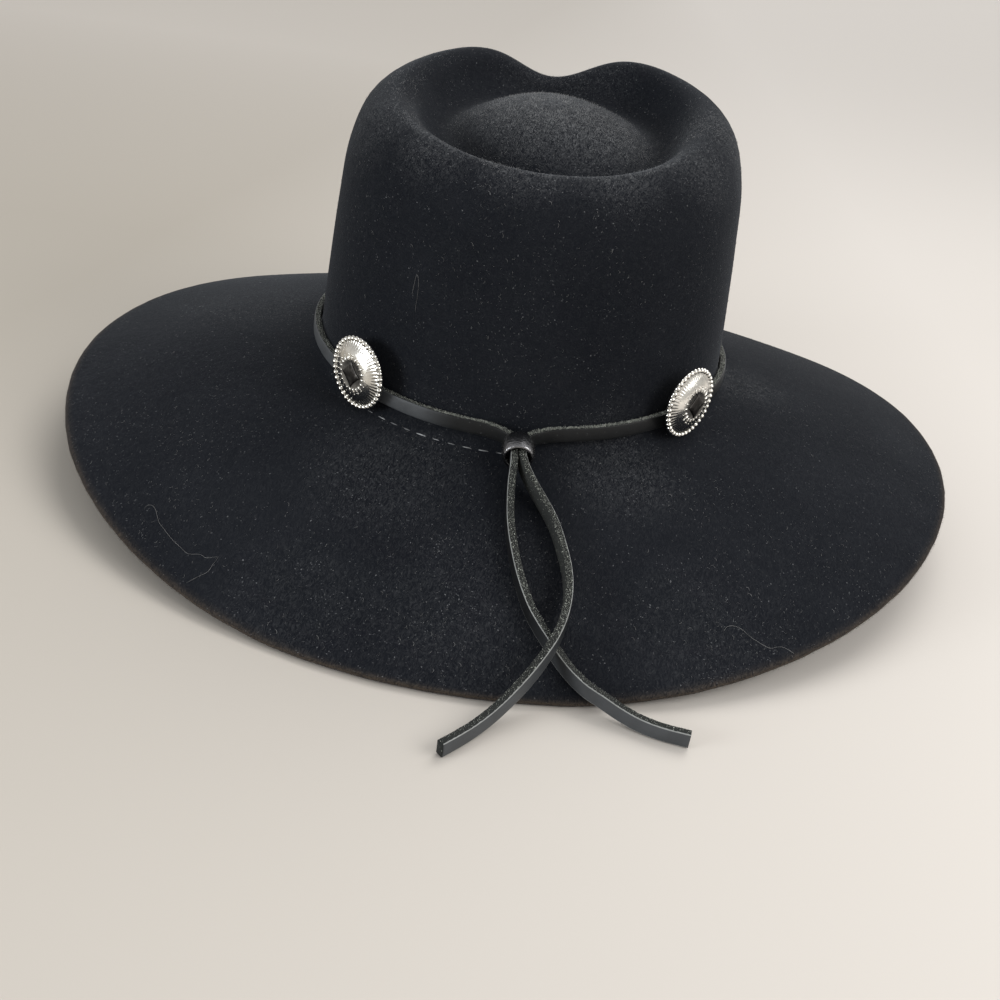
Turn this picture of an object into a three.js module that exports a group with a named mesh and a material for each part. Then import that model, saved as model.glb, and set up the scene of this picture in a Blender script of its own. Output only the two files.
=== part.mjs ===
// Felt cowboy hat with a wide drooping brim, a telescope crown pinched at the front,
// a leather lace band drawn through a bead, and two domed conchos.
// Millimetres, +Z up, back of the hat toward +Y. It rests on z = 0 on the brim's front and back.
import * as THREE from 'three';

// Felt body
const FELT = 2.5;
const CROWN_WIDTH = 173;
const CROWN_LENGTH = 196;
const CROWN_HEIGHT = 105.3;
const CROWN_SETBACK = 2.6;
const CROWN_SIDESTEP = 0.9;
const CREST_RISE = 13.3;
const BACK_DIP = 2.4;
const DIP_TURN = -30;
const BRIM_WIDTH = 101.8;
const BREAK_SADDLE = 4.9;
const REST_PRESS = 1.5;

// Slopes of the brim in degrees, from the break to the edge
const SIDE_DROOP = 10.7;
const BACK_DROOP = 23;
const FRONT_DROOP = 18.9;
const DROOP_CURL = 0.36;
const DROOP_FOCUS = 2.3;

// Front pinch of the crest
const PINCH_DEPTH = 13.2;
const PINCH_DENT = 5.9;
const PINCH_SPREAD = 15;
const DENT_SPREAD = 22;

// The crease and the tie stand a few degrees round from the brim's own axis
const DRESS_TURN = -7.5;

// Leather
const GAP = 0.3;
const FELT_GAP = 0.5;
const SWEATBAND = 1.2;
const SWEATBAND_HEIGHT = 38;
const SWEATBAND_FLANGE = 7.5;
const LACE_WIDTH = 5;
const LACE_THICKNESS = 2.6;
const LACE_CHAMFER = 0.5;
const BAND_LIFT = 0.7;

// Bead
const BEAD_DIAMETER = 11.8;
const BEAD_LENGTH = 8.6;
const BEAD_BORE = 8.2;
const BEAD_FLARE = 0.8;
const BEAD_STANDOFF = 4.8;
const TURN_REACH = 16;
const TURN_SETBACK = 2;

// Conchos, at angles from the tie
const CONCHO_DIAMETER = 27.8;
const CONCHO_RISE = 4.6;
const CONCHO_LEAN = 1;
const CONCHO_BOSS = 13;
const CONCHO_STANDOFF = 2.6;
const CONCHO_ANGLES = { concho_left: 40.6, concho_right: -42.3 };
const FLUTE_DEPTH = 0.35;
const FLUTES = 18;

// Mesh fineness
const SECTORS = 56;
const TAIL_STEPS = 30;
const TURN_STEPS = 4;
const BEAD_SIDES = 14;

// Brim rows: the share of the brim's width that each stands out from the crown
const BRIM_ROWS = [1, 0.985, 0.95, 0.86, 0.72, 0.56, 0.4, 0.26, 0.14, 0.032];

// Crown rows from the break up over the crest and down into the telescoped top.
// width, length: shares of half the crown's width and length. rise: share of its height.
// follow: share of the crest's slope. dent: share of the front's pinch and dent. back: share of half
// the length that the row stands back. steps: rings up to the next row.
const CROWN_COLUMNS = ['width', 'length', 'rise', 'follow', 'dent', 'back', 'steps'];
const CROWN_ROWS = [
  [0.999, 0.999, 0.030, 0.00, 0.0, 0.00, 1],
  [0.990, 0.992, 0.115, 0.03, 0.0, 0.00, 1],
  [0.971, 0.978, 0.300, 0.15, 0.0, 0.00, 1],
  [0.938, 0.956, 0.580, 0.45, 0.2, 0.00, 2],
  [0.902, 0.933, 0.800, 0.80, 0.5, 0.00, 2],
  [0.840, 0.889, 0.935, 0.95, 0.9, 0.00, 1],
  [0.774, 0.838, 0.985, 1.00, 1.0, 0.00, 1],
  [0.700, 0.788, 1.000, 1.00, 1.0, 0.00, 1],
  [0.634, 0.737, 0.975, 1.00, 1.0, 0.00, 1],
  [0.585, 0.690, 0.905, 0.95, 0.8, 0.00, 2],
  [0.530, 0.615, 0.855, 0.80, 0.5, 0.00, 1],
  [0.465, 0.530, 0.855, 0.62, 0.2, 0.01, 2],
  [0.360, 0.410, 0.905, 0.42, 0.0, 0.02, 2],
  [0.190, 0.215, 0.960, 0.22, 0.0, 0.03, 2],
  [0.000, 0.000, 0.978, 0.00, 0.0, 0.04, 0],
].map((row) => Object.fromEntries(row.map((value, i) => [CROWN_COLUMNS[i], value])));

// Concho profile from the centre out. reach: share of the radius. rise: share of the dome's rise.
// flute: share of the flute's depth.
const CONCHO_COLUMNS = ['reach', 'rise', 'flute'];
const CONCHO_ROWS = [
  [0.00, 1.00, 0],
  [0.10, 0.98, 0],
  [0.22, 0.88, 0],
  [0.30, 0.90, 0],
  [0.42, 0.86, 0],
  [0.56, 0.72, 1],
  [0.70, 0.52, 1],
  [0.78, 0.38, 0],
  [0.84, 0.44, 0],
  [0.91, 0.42, 0],
  [0.97, 0.32, 0],
  [1.00, 0.20, 0],
].map((row) => Object.fromEntries(row.map((value, i) => [CONCHO_COLUMNS[i], value])));

// Routes of the lace's two free tails, from inside the bead, down the brim and out past its edge
const TAIL_ROUTES = {
  tail_left: [
    [-11.27, 108.3, 42.7], [-11.95, 112.9, 41.6], [-12.5, 117.0, 39.3], [-12.9, 122.0, 36.4],
    [-13.6, 127.5, 33.6], [-15.4, 137.4, 29.9], [-18.1, 146.6, 26.3], [-22.4, 157.2, 21.7],
    [-27.1, 165.6, 17.7], [-30.8, 170.2, 15.3], [-34.2, 173.7, 13.4], [-38.4, 178.0, 10.9],
    [-43.0, 181.7, 8.6], [-48.0, 184.8, 6.8], [-53.0, 187.0, 5.7], [-58.5, 189.0, 4.2],
    [-64.5, 191.0, 3.1], [-71.0, 192.6, 2.8], [-79.7, 193.6, 2.8],
  ],
  tail_right: [
    [-14.15, 107.9, 42.7], [-14.82, 112.4, 41.6], [-16.5, 116.0, 39.7], [-19.8, 120.7, 37.0],
    [-23.6, 125.3, 34.4], [-27.3, 130.2, 32.1], [-30.6, 135.8, 29.8], [-33.9, 143.4, 26.9],
    [-36.4, 150.6, 24.4], [-37.8, 158.2, 22.6], [-38.1, 166.3, 20.9], [-37.4, 173.6, 19.0],
    [-35.8, 179.6, 16.7], [-33.4, 184.6, 13.8], [-30.3, 189.4, 10.3], [-26.6, 194.4, 7.0],
    [-22.4, 200.0, 4.3], [-18.4, 205.4, 3.0], [-14.4, 210.9, 2.8], [-9.9, 216.5, 2.8],
  ],
};

const radians = THREE.MathUtils.degToRad;
const wallStart = BRIM_ROWS.length;
const lastStation = BRIM_ROWS.length + CROWN_ROWS.length - 1;

// 1 at the middle of the front, falling off to the sides over a number of degrees
function atFront(angle, spread) {
  const turned = THREE.MathUtils.radToDeg(angle) - DRESS_TURN;
  const away = THREE.MathUtils.euclideanModulo(turned, 360) - 180;
  return Math.exp(-0.5 * (away / spread) ** 2);
}

// Outward direction of the crown's base oval, 0 at the back and a quarter turn at +X
function ovalNormal(angle) {
  return new THREE.Vector3(CROWN_LENGTH * Math.sin(angle), CROWN_WIDTH * Math.cos(angle), 0).normalize();
}

function breakPoint(angle) {
  return new THREE.Vector3(
    (CROWN_WIDTH / 2) * Math.sin(angle),
    (CROWN_LENGTH / 2) * Math.cos(angle),
    BREAK_SADDLE * (0.5 - Math.cos(angle) ** 2),
  );
}

// A point of the brim's top, which bends down along an arc from the break to the edge
function brimPoint(share, angle) {
  const ends = Math.abs(Math.cos(angle)) ** DROOP_FOCUS;
  const endDroop = Math.cos(angle) > 0 ? BACK_DROOP : FRONT_DROOP;
  const droop = radians(SIDE_DROOP + (endDroop - SIDE_DROOP) * ends);
  const start = droop * (1 - DROOP_CURL);
  const bend = 2 * droop * DROOP_CURL;
  const reach = (BRIM_WIDTH * (Math.sin(start + bend * share) - Math.sin(start))) / bend;
  const drop = (BRIM_WIDTH * (Math.cos(start) - Math.cos(start + bend * share))) / bend;
  const point = breakPoint(angle).addScaledVector(ovalNormal(angle), reach);
  point.z -= drop;
  return point;
}

function crownPoint(row, angle) {
  const dip = BACK_DIP * Math.max(0, Math.cos(angle - radians(DIP_TURN))) ** 2;
  const crest = -CREST_RISE * Math.cos(angle) - dip;
  const pinch = PINCH_DEPTH * row.dent * atFront(angle, PINCH_SPREAD);
  const base = breakPoint(angle);
  const setback = CROWN_SETBACK * row.rise + (CROWN_LENGTH / 2) * row.back;
  return new THREE.Vector3(
    base.x * row.width - CROWN_SIDESTEP * row.rise,
    base.y * row.length + setback + PINCH_DENT * row.dent * atFront(angle, DENT_SPREAD),
    CROWN_HEIGHT * row.rise + crest * row.follow - pinch + base.z * Math.max(0, 1 - row.rise),
  );
}

// One smooth line up the hat's outside for each angle. Stations count its rows from the brim's edge.
function outsideLine(angle) {
  const brim = BRIM_ROWS.map((share) => brimPoint(share, angle));
  const crown = CROWN_ROWS.map((row) => crownPoint(row, angle));
  return new THREE.CatmullRomCurve3([...brim, ...crown]);
}

const lines = new Map();

function blockPoint(station, angle) {
  if (!lines.has(angle)) {
    lines.set(angle, outsideLine(angle));
  }
  return lines.get(angle).getPoint(station / lastStation);
}

// Unit vectors of the outside at a place: up the line, and outward from the felt
function blockFrame(station, angle) {
  const step = 0.02;
  const low = blockPoint(Math.max(station - step, 0), angle);
  const up = blockPoint(Math.min(station + step, lastStation), angle).sub(low).normalize();
  const round = blockPoint(station, angle + step).sub(blockPoint(station, angle - step));
  const outward = new THREE.Vector3(0, 0, 1);
  if (station < lastStation) {
    outward.crossVectors(up, round).normalize();
  }
  return { up, outward };
}

// The hat tips until the lowest points of its back and front edges stand on one level
function restingPlace() {
  const underEdge = (angle) => blockPoint(0, angle).addScaledVector(blockFrame(0, angle).outward, -FELT);
  const back = underEdge(0);
  const front = underEdge(Math.PI);
  const tip = new THREE.Matrix4().makeRotationX(Math.atan2(front.z - back.z, back.y - front.y));
  const lowest = back.clone().applyMatrix4(tip).z;
  const backEdge = blockPoint(0, 0).applyMatrix4(tip).y;
  const frontEdge = blockPoint(0, Math.PI).applyMatrix4(tip).y;
  return tip.premultiply(
    new THREE.Matrix4().makeTranslation(0, -(backEdge + frontEdge) / 2, -lowest - REST_PRESS),
  );
}

const RESTING = restingPlace();

function frameAt(station, angle) {
  const { up, outward } = blockFrame(station, angle);
  return { up: up.transformDirection(RESTING), outward: outward.transformDirection(RESTING) };
}

// A point at a depth under the hat's outside, or above it where the depth is negative
function feltPoint(station, angle, depth) {
  const point = blockPoint(station, angle).applyMatrix4(RESTING);
  return point.addScaledVector(frameAt(station, angle).outward, -depth);
}

// Finds the station between two others where a measure that grows from one to the other is reached
function findStation(from, to, measure, wanted) {
  let low = from;
  let high = to;
  for (let i = 0; i < 30; i += 1) {
    const middle = (low + high) / 2;
    if (measure(middle) < wanted) {
      low = middle;
    } else {
      high = middle;
    }
  }
  return (low + high) / 2;
}

const SIDE = Math.PI / 2;

function stationOut(distance) {
  return findStation(wallStart, 0, (s) => blockPoint(s, SIDE).x - CROWN_WIDTH / 2, distance);
}

function stationUp(height) {
  return findStation(wallStart - 1, wallStart + 3, (s) => blockPoint(s, SIDE).z - breakPoint(SIDE).z, height);
}

// Closed geometry from rings of points, with faces between each ring and the next.
// A ring of one point closes to a tip, and loop joins the last ring back to the first.
function ringsGeometry(rings, loop) {
  const count = rings[1].length;
  const positions = [];
  const index = [];
  const starts = rings.map((ring) => {
    const start = positions.length / 3;
    ring.forEach((point) => positions.push(point.x, point.y, point.z));
    return start;
  });
  const corner = (ring, i) => starts[ring] + (rings[ring].length === 1 ? 0 : i % count);
  const pairs = loop ? rings.length : rings.length - 1;
  for (let ring = 0; ring < pairs; ring += 1) {
    const next = (ring + 1) % rings.length;
    for (let i = 0; i < count; i += 1) {
      if (rings[ring].length > 1) {
        index.push(corner(ring, i), corner(ring, i + 1), corner(next, i));
      }
      if (rings[next].length > 1) {
        index.push(corner(ring, i + 1), corner(next, i + 1), corner(next, i));
      }
    }
  }
  const geometry = new THREE.BufferGeometry();
  geometry.setAttribute('position', new THREE.Float32BufferAttribute(positions, 3));
  geometry.setIndex(index);
  geometry.computeVertexNormals();
  return geometry;
}

const angles = Array.from({ length: SECTORS }, (_, i) => (i / SECTORS) * 2 * Math.PI);
const bodyStations = BRIM_ROWS.map((_, i) => i);
CROWN_ROWS.forEach((row, i) => {
  for (let step = 0; step < row.steps; step += 1) {
    bodyStations.push(wallStart + i + step / row.steps);
  }
});

// The whole felt body: outside from the apex down to the edge, then inside back up to the apex.
// Felt that would reach below the surface is pressed flat on it.
function bodyGeometry() {
  const pressed = (point, floor) => point.setZ(Math.max(point.z, floor));
  const ring = (station, depth, floor) =>
    angles.map((angle) => pressed(feltPoint(station, angle, depth), floor));
  const outside = bodyStations.map((station) => ring(station, 0, FELT)).reverse();
  const inside = bodyStations.map((station) => ring(station, FELT, 0));
  const tips = [feltPoint(lastStation, 0, 0), feltPoint(lastStation, 0, FELT)];
  return ringsGeometry([[tips[0]], ...outside, ...inside, [tips[1]]], false);
}

// Leather inside the crown's foot, with a narrow edge turned out under the brim and sewn to it
function sweatbandGeometry() {
  const edge = stationOut(SWEATBAND_FLANGE);
  const top = stationUp(SWEATBAND_HEIGHT);
  const between = bodyStations.filter((station) => station > edge && station < top);
  const stations = [edge, ...between, top];
  const ring = (station, depth) => angles.map((angle) => feltPoint(station, angle, depth));
  const faceOut = stations.map((station) => ring(station, FELT + FELT_GAP)).reverse();
  const faceIn = stations.map((station) => ring(station, FELT + FELT_GAP + SWEATBAND));
  return ringsGeometry([...faceOut, ...faceIn], true);
}

const tieAngle = radians(DRESS_TURN);

// The bead lies on the brim with its bore running down the slope
function beadPlace() {
  const far = feltPoint(stationOut(BEAD_STANDOFF + BEAD_LENGTH), tieAngle, 0);
  const near = feltPoint(stationOut(BEAD_STANDOFF), tieAngle, 0);
  const axis = far.sub(near).normalize();
  const middle = stationOut(BEAD_STANDOFF + BEAD_LENGTH / 2);
  const centre = feltPoint(middle, tieAngle, -BEAD_DIAMETER / 2 - 1.5 * FELT_GAP);
  const side = new THREE.Vector3(0, 0, 1).cross(axis).normalize().negate();
  return { centre, axis, side, up: side.clone().cross(axis).normalize() };
}

const BEAD = beadPlace();

function beadGeometry() {
  const bore = BEAD_BORE / 2;
  const outer = BEAD_DIAMETER / 2;
  const end = BEAD_LENGTH / 2;
  const rim = bore + BEAD_FLARE;
  const profile = [
    [bore, -end / 2], [rim, -end], [(rim + outer) / 2, -end * 0.9], [outer, -end * 0.35],
    [outer, end * 0.35], [(rim + outer) / 2, end * 0.9], [rim, end], [bore, end / 2], [bore, -end / 2],
  ].map(([x, y]) => new THREE.Vector2(x, y));
  return new THREE.LatheGeometry(profile, BEAD_SIDES);
}

// Where the lace stands at a distance from the bead's middle, on the +X or -X side of its bore
function inBead(along, hand) {
  const offset = hand * (LACE_THICKNESS + GAP) * 0.5;
  return BEAD.centre.clone().addScaledVector(BEAD.axis, along).addScaledVector(BEAD.side, offset);
}

// Sections of the lace, each a middle with unit vectors across its thickness and up its width.
// The band stands on the straight foot of the wall, between the crown's first two rows.
function wallSection(angle) {
  const foot = feltPoint(wallStart, angle, 0);
  const up = feltPoint(wallStart + 1, angle, 0).sub(foot).normalize();
  const round = frameAt(wallStart, angle).outward.cross(up).normalize();
  const across = up.clone().cross(round).normalize();
  const middle = foot.addScaledVector(up, BAND_LIFT + LACE_WIDTH / 2);
  return { middle: middle.addScaledVector(across, FELT_GAP + LACE_THICKNESS / 2), across, up };
}

// Sections that leave the wall and bend into the bead, on the +X (hand 1) or -X (hand -1) side
function turnSections(hand) {
  const start = wallSection(tieAngle + (hand * TURN_REACH * 2) / CROWN_WIDTH);
  const entry = inBead(-BEAD_LENGTH / 2 + 1, hand);
  const leave = wallSection(tieAngle + (hand * TURN_REACH * 1.2) / CROWN_WIDTH);
  const corner = inBead(-BEAD_LENGTH / 2 - TURN_SETBACK, hand);
  const turn = new THREE.CubicBezierCurve3(start.middle, leave.middle, corner, entry);
  const sections = [];
  for (let i = 0; i <= TURN_STEPS; i += 1) {
    const share = i / TURN_STEPS;
    const up = start.up.clone().lerp(BEAD.up, share).normalize();
    const across = turn.getTangent(share).cross(up).multiplyScalar(hand).normalize();
    sections.push({ middle: turn.getPoint(share), across, up });
  }
  const last = sections[TURN_STEPS];
  sections.push({ ...last, middle: inBead(-GAP / 2, hand) });
  return sections;
}

function bandGeometry() {
  const reach = (TURN_REACH * 2) / CROWN_WIDTH;
  const clearOfTurn = reach + 0.4 * (angles[1] - angles[0]);
  const round = angles
    .map((angle) => THREE.MathUtils.euclideanModulo(angle - tieAngle, 2 * Math.PI))
    .filter((away) => away > clearOfTurn && away < 2 * Math.PI - clearOfTurn)
    .sort((a, b) => a - b)
    .map((away) => wallSection(tieAngle + away));
  const sections = [...turnSections(1).reverse(), ...round, ...turnSections(-1)];
  const halfWidth = LACE_WIDTH / 2;
  const halfThickness = LACE_THICKNESS / 2;
  const corners = [[-1, -1], [1, -1], [1, 1], [-1, 1]];
  const rings = sections.map(({ middle, across, up }) =>
    corners.map(([side, height]) =>
      middle
        .clone()
        .addScaledVector(across, side * halfThickness)
        .addScaledVector(up, height * halfWidth),
    ),
  );
  return ringsGeometry([[sections[0].middle], ...rings, [sections.at(-1).middle]], false);
}

function laceSection() {
  const x = LACE_THICKNESS / 2;
  const y = LACE_WIDTH / 2;
  const c = LACE_CHAMFER;
  return new THREE.Shape([
    new THREE.Vector2(x, c - y), new THREE.Vector2(x, y - c), new THREE.Vector2(x - c, y),
    new THREE.Vector2(c - x, y), new THREE.Vector2(-x, y - c), new THREE.Vector2(-x, c - y),
    new THREE.Vector2(c - x, -y), new THREE.Vector2(x - c, -y),
  ]);
}

function tailGeometry(route) {
  const path = new THREE.CatmullRomCurve3(route.map((point) => new THREE.Vector3(...point)));
  return new THREE.ExtrudeGeometry(laceSection(), { steps: TAIL_STEPS, extrudePath: path });
}

// A domed disc with a boss on its back: smooth centre, a ring of radial flutes, and a raised border
function conchoGeometry() {
  const radius = CONCHO_DIAMETER / 2;
  const sides = 2 * FLUTES;
  const outline = CONCHO_ROWS.map((row) => new THREE.Vector2(row.reach * radius, row.rise * CONCHO_RISE));
  const back = [[radius, 0], [CONCHO_BOSS / 2, 0], [CONCHO_BOSS / 2, -CONCHO_STANDOFF], [0, -CONCHO_STANDOFF]];
  const profile = [...outline, ...back.map(([x, y]) => new THREE.Vector2(x, y))].reverse();
  const geometry = new THREE.LatheGeometry(profile, sides);
  const position = geometry.attributes.position;
  for (let i = 0; i < position.count; i += 1) {
    const sector = Math.floor(i / profile.length);
    const row = CONCHO_ROWS[profile.length - 1 - (i % profile.length)];
    if (row && row.flute > 0 && sector % 2 === 1) {
      position.setY(i, position.getY(i) - FLUTE_DEPTH * row.flute);
    }
  }
  geometry.computeVertexNormals();
  return geometry;
}

// The concho stands nearly upright on the brim, its boss against the lace's upper edge
function conchoPlace(angle) {
  const { middle, across, up } = wallSection(angle);
  const lean = radians(CONCHO_LEAN);
  const level = new THREE.Vector3(across.x, across.y, 0).normalize();
  const face = level.clone().multiplyScalar(Math.cos(lean)).setZ(Math.sin(lean));
  const rise = level.multiplyScalar(-Math.sin(lean)).setZ(Math.cos(lean));
  const clear = LACE_THICKNESS / 2 + FELT_GAP + CONCHO_STANDOFF;
  const seat = middle.addScaledVector(up, LACE_WIDTH / 2).addScaledVector(across, clear);
  const foot = feltPoint(stationOut(FELT_GAP + LACE_THICKNESS / 2 + clear), angle, -1.6 * FELT_GAP);
  const height = (foot.z - seat.z) / rise.z + CONCHO_DIAMETER / 2;
  return { centre: seat.addScaledVector(rise, height), face };
}

const felt = new THREE.MeshStandardMaterial({ color: 0x1b1d20, roughness: 0.95, metalness: 0 });
const lace = new THREE.MeshStandardMaterial({ color: 0x34373a, roughness: 0.55, metalness: 0 });
const lining = new THREE.MeshStandardMaterial({ color: 0x2a211b, roughness: 0.6, metalness: 0 });
const silver = new THREE.MeshStandardMaterial({ color: 0xb8b6b0, roughness: 0.3, metalness: 1 });
const blackNickel = new THREE.MeshStandardMaterial({ color: 0x2c2c2e, roughness: 0.25, metalness: 0.9 });

function named(name, geometry, material) {
  const mesh = new THREE.Mesh(geometry, material);
  mesh.name = name;
  return mesh;
}

const group = new THREE.Group();
const turnedAxis = new THREE.Vector3(0, 1, 0);

function addFelt() {
  group.add(named('hat_body', bodyGeometry(), felt));
  group.add(named('sweatband', sweatbandGeometry(), lining));
}

function addTie() {
  group.add(named('hat_band', bandGeometry(), lace));
  const bead = named('bead', beadGeometry(), blackNickel);
  bead.position.copy(BEAD.centre);
  bead.quaternion.setFromUnitVectors(turnedAxis, BEAD.axis);
  group.add(bead);
  Object.entries(TAIL_ROUTES).forEach(([name, route]) => {
    group.add(named(name, tailGeometry(route), lace));
  });
}

function addConchos() {
  Object.entries(CONCHO_ANGLES).forEach(([name, away]) => {
    const place = conchoPlace(radians(DRESS_TURN + away));
    const concho = named(name, conchoGeometry(), silver);
    concho.position.copy(place.centre);
    concho.quaternion.setFromUnitVectors(turnedAxis, place.face);
    group.add(concho);
  });
}

addFelt();
addTie();
addConchos();

export default group;
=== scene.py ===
"""The looks of a felt cowboy hat with a leather lace band, a metal bead and two silver conchos."""

import logging
import math
from dataclasses import asdict, dataclass, field, replace
from enum import Enum

import bpy
import numpy as np
from mathutils import Matrix, Vector


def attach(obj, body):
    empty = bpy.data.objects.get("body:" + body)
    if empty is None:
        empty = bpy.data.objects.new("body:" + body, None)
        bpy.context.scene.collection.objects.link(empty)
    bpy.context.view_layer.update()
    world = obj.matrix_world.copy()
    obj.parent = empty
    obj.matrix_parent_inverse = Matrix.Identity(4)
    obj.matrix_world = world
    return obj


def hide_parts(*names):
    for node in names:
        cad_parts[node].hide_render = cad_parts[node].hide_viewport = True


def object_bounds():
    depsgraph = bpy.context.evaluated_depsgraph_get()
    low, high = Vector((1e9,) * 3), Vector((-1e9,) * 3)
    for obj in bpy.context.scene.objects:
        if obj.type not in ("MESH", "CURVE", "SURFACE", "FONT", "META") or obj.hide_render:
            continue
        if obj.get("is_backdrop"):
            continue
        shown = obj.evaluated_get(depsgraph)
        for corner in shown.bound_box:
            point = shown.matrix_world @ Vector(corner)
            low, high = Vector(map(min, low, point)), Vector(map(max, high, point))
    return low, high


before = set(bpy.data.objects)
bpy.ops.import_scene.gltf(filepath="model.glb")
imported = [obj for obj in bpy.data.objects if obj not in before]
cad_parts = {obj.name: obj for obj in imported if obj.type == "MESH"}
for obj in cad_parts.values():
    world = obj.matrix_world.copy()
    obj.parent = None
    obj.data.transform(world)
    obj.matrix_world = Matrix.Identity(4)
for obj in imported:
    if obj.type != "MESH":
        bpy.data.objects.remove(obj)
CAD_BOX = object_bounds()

log = logging.getLogger("felt_hat")

BODY = "root"
SEED = 7
Z_UP = np.array([0.0, 0.0, 1.0])


class LaceFace(Enum):
    """The faces of the leather lace, in the order of its material slots."""

    GRAIN = 0
    BURNISHED = 1
    CUT = 2
    FLESH = 3


class Hand(Enum):
    """Which side of the bead's bore a strand of lace takes."""

    LEFT = 1
    RIGHT = -1


def unit(vectors: np.ndarray) -> np.ndarray:
    """Scales vectors to unit length.

    Args:
        vectors: An array whose last axis holds x, y and z.

    Returns:
        The unit vectors.
    """
    return vectors / np.linalg.norm(vectors, axis=-1, keepdims=True)


def centripetal(knots: np.ndarray, stations: np.ndarray) -> np.ndarray:
    """Places on smooth curves through rows of knots.

    Args:
        knots: Curves, knots and coordinates, as an array of those three axes.
        stations: Places along each curve, where a whole number is a knot.

    Returns:
        An array of curves, stations and coordinates.
    """
    ends = (2 * knots[:, :1] - knots[:, 1:2], knots, 2 * knots[:, -1:] - knots[:, -2:-1])
    padded = np.concatenate(ends, axis=1)
    first = np.clip(np.floor(stations).astype(int), 0, knots.shape[1] - 2)
    share = (stations - first)[:, None]
    before, start, end, after = (padded[:, first + i] for i in range(4))
    pairs = ((before, start), (start, end), (end, after))
    low, span, high = (np.linalg.norm(b - a, axis=-1, keepdims=True) ** 0.5 for a, b in pairs)
    leave = span * ((start - before) / low - (end - before) / (low + span) + (end - start) / span)
    arrive = span * ((end - start) / span - (after - start) / (span + high) + (after - end) / high)
    square = -3 * start + 3 * end - 2 * leave - arrive
    cube = 2 * start - 2 * end + leave + arrive
    return start + share * (leave + share * (square + share * cube))


def along_length(knots: np.ndarray, step: float) -> np.ndarray:
    """Points at even distances on one smooth curve.

    Args:
        knots: The knots of the curve, one row each.
        step: The distance from one point to the next, in metres.

    Returns:
        The points, from the first knot to the last.
    """
    fine = centripetal(knots[None], np.linspace(0, len(knots) - 1, 60 * len(knots)))[0]
    run = np.concatenate([[0], np.cumsum(np.linalg.norm(np.diff(fine, axis=0), axis=1))])
    wanted = np.linspace(0, run[-1], round(run[-1] / step) + 1)
    return np.stack([np.interp(wanted, run, fine[:, axis]) for axis in range(3)], axis=1)


def in_scene(name: str, data: object) -> bpy.types.Object:
    """Puts a mesh, lamp or camera into the scene as an object."""
    thing = bpy.data.objects.new(name, data)
    bpy.context.scene.collection.objects.link(thing)
    return thing


def whole_turn(count: int) -> np.ndarray:
    """Evenly spaced angles once round."""
    return np.arange(count) / count * 2 * math.pi


def ring_mesh(
    name: str, rings: list[np.ndarray], loop: bool = False, slots: np.ndarray | None = None
) -> bpy.types.Object:
    """Makes a closed smooth mesh from rings of points.

    Args:
        name: The new object's name.
        rings: Rings of points. A ring of one point closes to a tip.
        loop: Whether the last ring joins the first.
        slots: The material slot of each strip between neighbouring points of a ring.

    Returns:
        The new object, in the scene.
    """
    starts = np.cumsum([0] + [len(ring) for ring in rings])
    count = max(len(ring) for ring in rings)
    faces, face_slots = [], []
    for low in range(len(rings) if loop else len(rings) - 1):
        high = (low + 1) % len(rings)
        for i in range(count):
            j = (i + 1) % count
            if len(rings[low]) == 1:
                face = (starts[low], starts[high] + j, starts[high] + i)
            elif len(rings[high]) == 1:
                face = (starts[low] + i, starts[low] + j, starts[high])
            else:
                face = (starts[low] + i, starts[low] + j, starts[high] + j, starts[high] + i)
            faces.append(tuple(int(corner) for corner in face))
            capped = len(rings[low]) == 1 or len(rings[high]) == 1
            if slots is not None:
                face_slots.append(LaceFace.CUT.value if capped else int(slots[i]))
    mesh = bpy.data.meshes.new(name)
    mesh.from_pydata(np.concatenate(rings).tolist(), [], faces)
    mesh.polygons.foreach_set("use_smooth", np.ones(len(faces), bool))
    if slots is not None:
        mesh.polygons.foreach_set("material_index", np.array(face_slots, np.int32))
    mesh.update()
    return in_scene(name, mesh)


def path_mesh(name: str, points: np.ndarray, outward: np.ndarray) -> bpy.types.Object:
    """Makes a closed line of edges that carries the direction away from its surface.

    Args:
        name: The new object's name.
        points: The corners of the line.
        outward: A vector for each corner.

    Returns:
        The new object, for a node tree to work on.
    """
    mesh = bpy.data.meshes.new(name)
    count = len(points)
    mesh.from_pydata(points.tolist(), [(i, (i + 1) % count) for i in range(count)], [])
    mesh.attributes.new("outward", "FLOAT_VECTOR", "POINT").data.foreach_set("vector", outward.ravel())
    return in_scene(name, mesh)


def add_share(thing: bpy.types.Object, name: str, values: np.ndarray) -> None:
    """Stores a number for each point of a mesh, for its material to read.

    Args:
        thing: The object whose mesh gets the numbers.
        name: The attribute's name.
        values: One number for each point.
    """
    attribute = thing.data.attributes.new(name, "FLOAT", "POINT")
    attribute.data.foreach_set("value", values.astype(np.float32))


def lathe_rings(
    profile: list[tuple[float, float]], sides: int, centre: np.ndarray, axis: np.ndarray
) -> list[np.ndarray]:
    """Turns a profile round an axis.

    Args:
        profile: Pairs of radius and height, in metres.
        sides: How many points a ring has.
        centre: Where height 0 lies.
        axis: The unit vector along the height.

    Returns:
        One ring for each pair, of one point where the radius is 0.
    """
    side = unit(np.cross(axis, Z_UP))
    other = np.cross(axis, side)
    turn = whole_turn(sides)
    rings = []
    for radius, height in profile:
        middle = centre + axis * height
        if radius == 0:
            rings.append(middle[None])
        else:
            rings.append(middle + radius * (np.cos(turn)[:, None] * side + np.sin(turn)[:, None] * other))
    return rings


def fair(values: np.ndarray, low: float, high: float) -> np.ndarray:
    """A smooth step from 0 at low to 1 at high.

    Args:
        values: The numbers to grade.
        low: Where the step starts.
        high: Where it ends, which may be below low.

    Returns:
        The graded numbers.
    """
    share = np.clip((values - low) / (high - low), 0, 1)
    return share * share * (3 - 2 * share)


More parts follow.
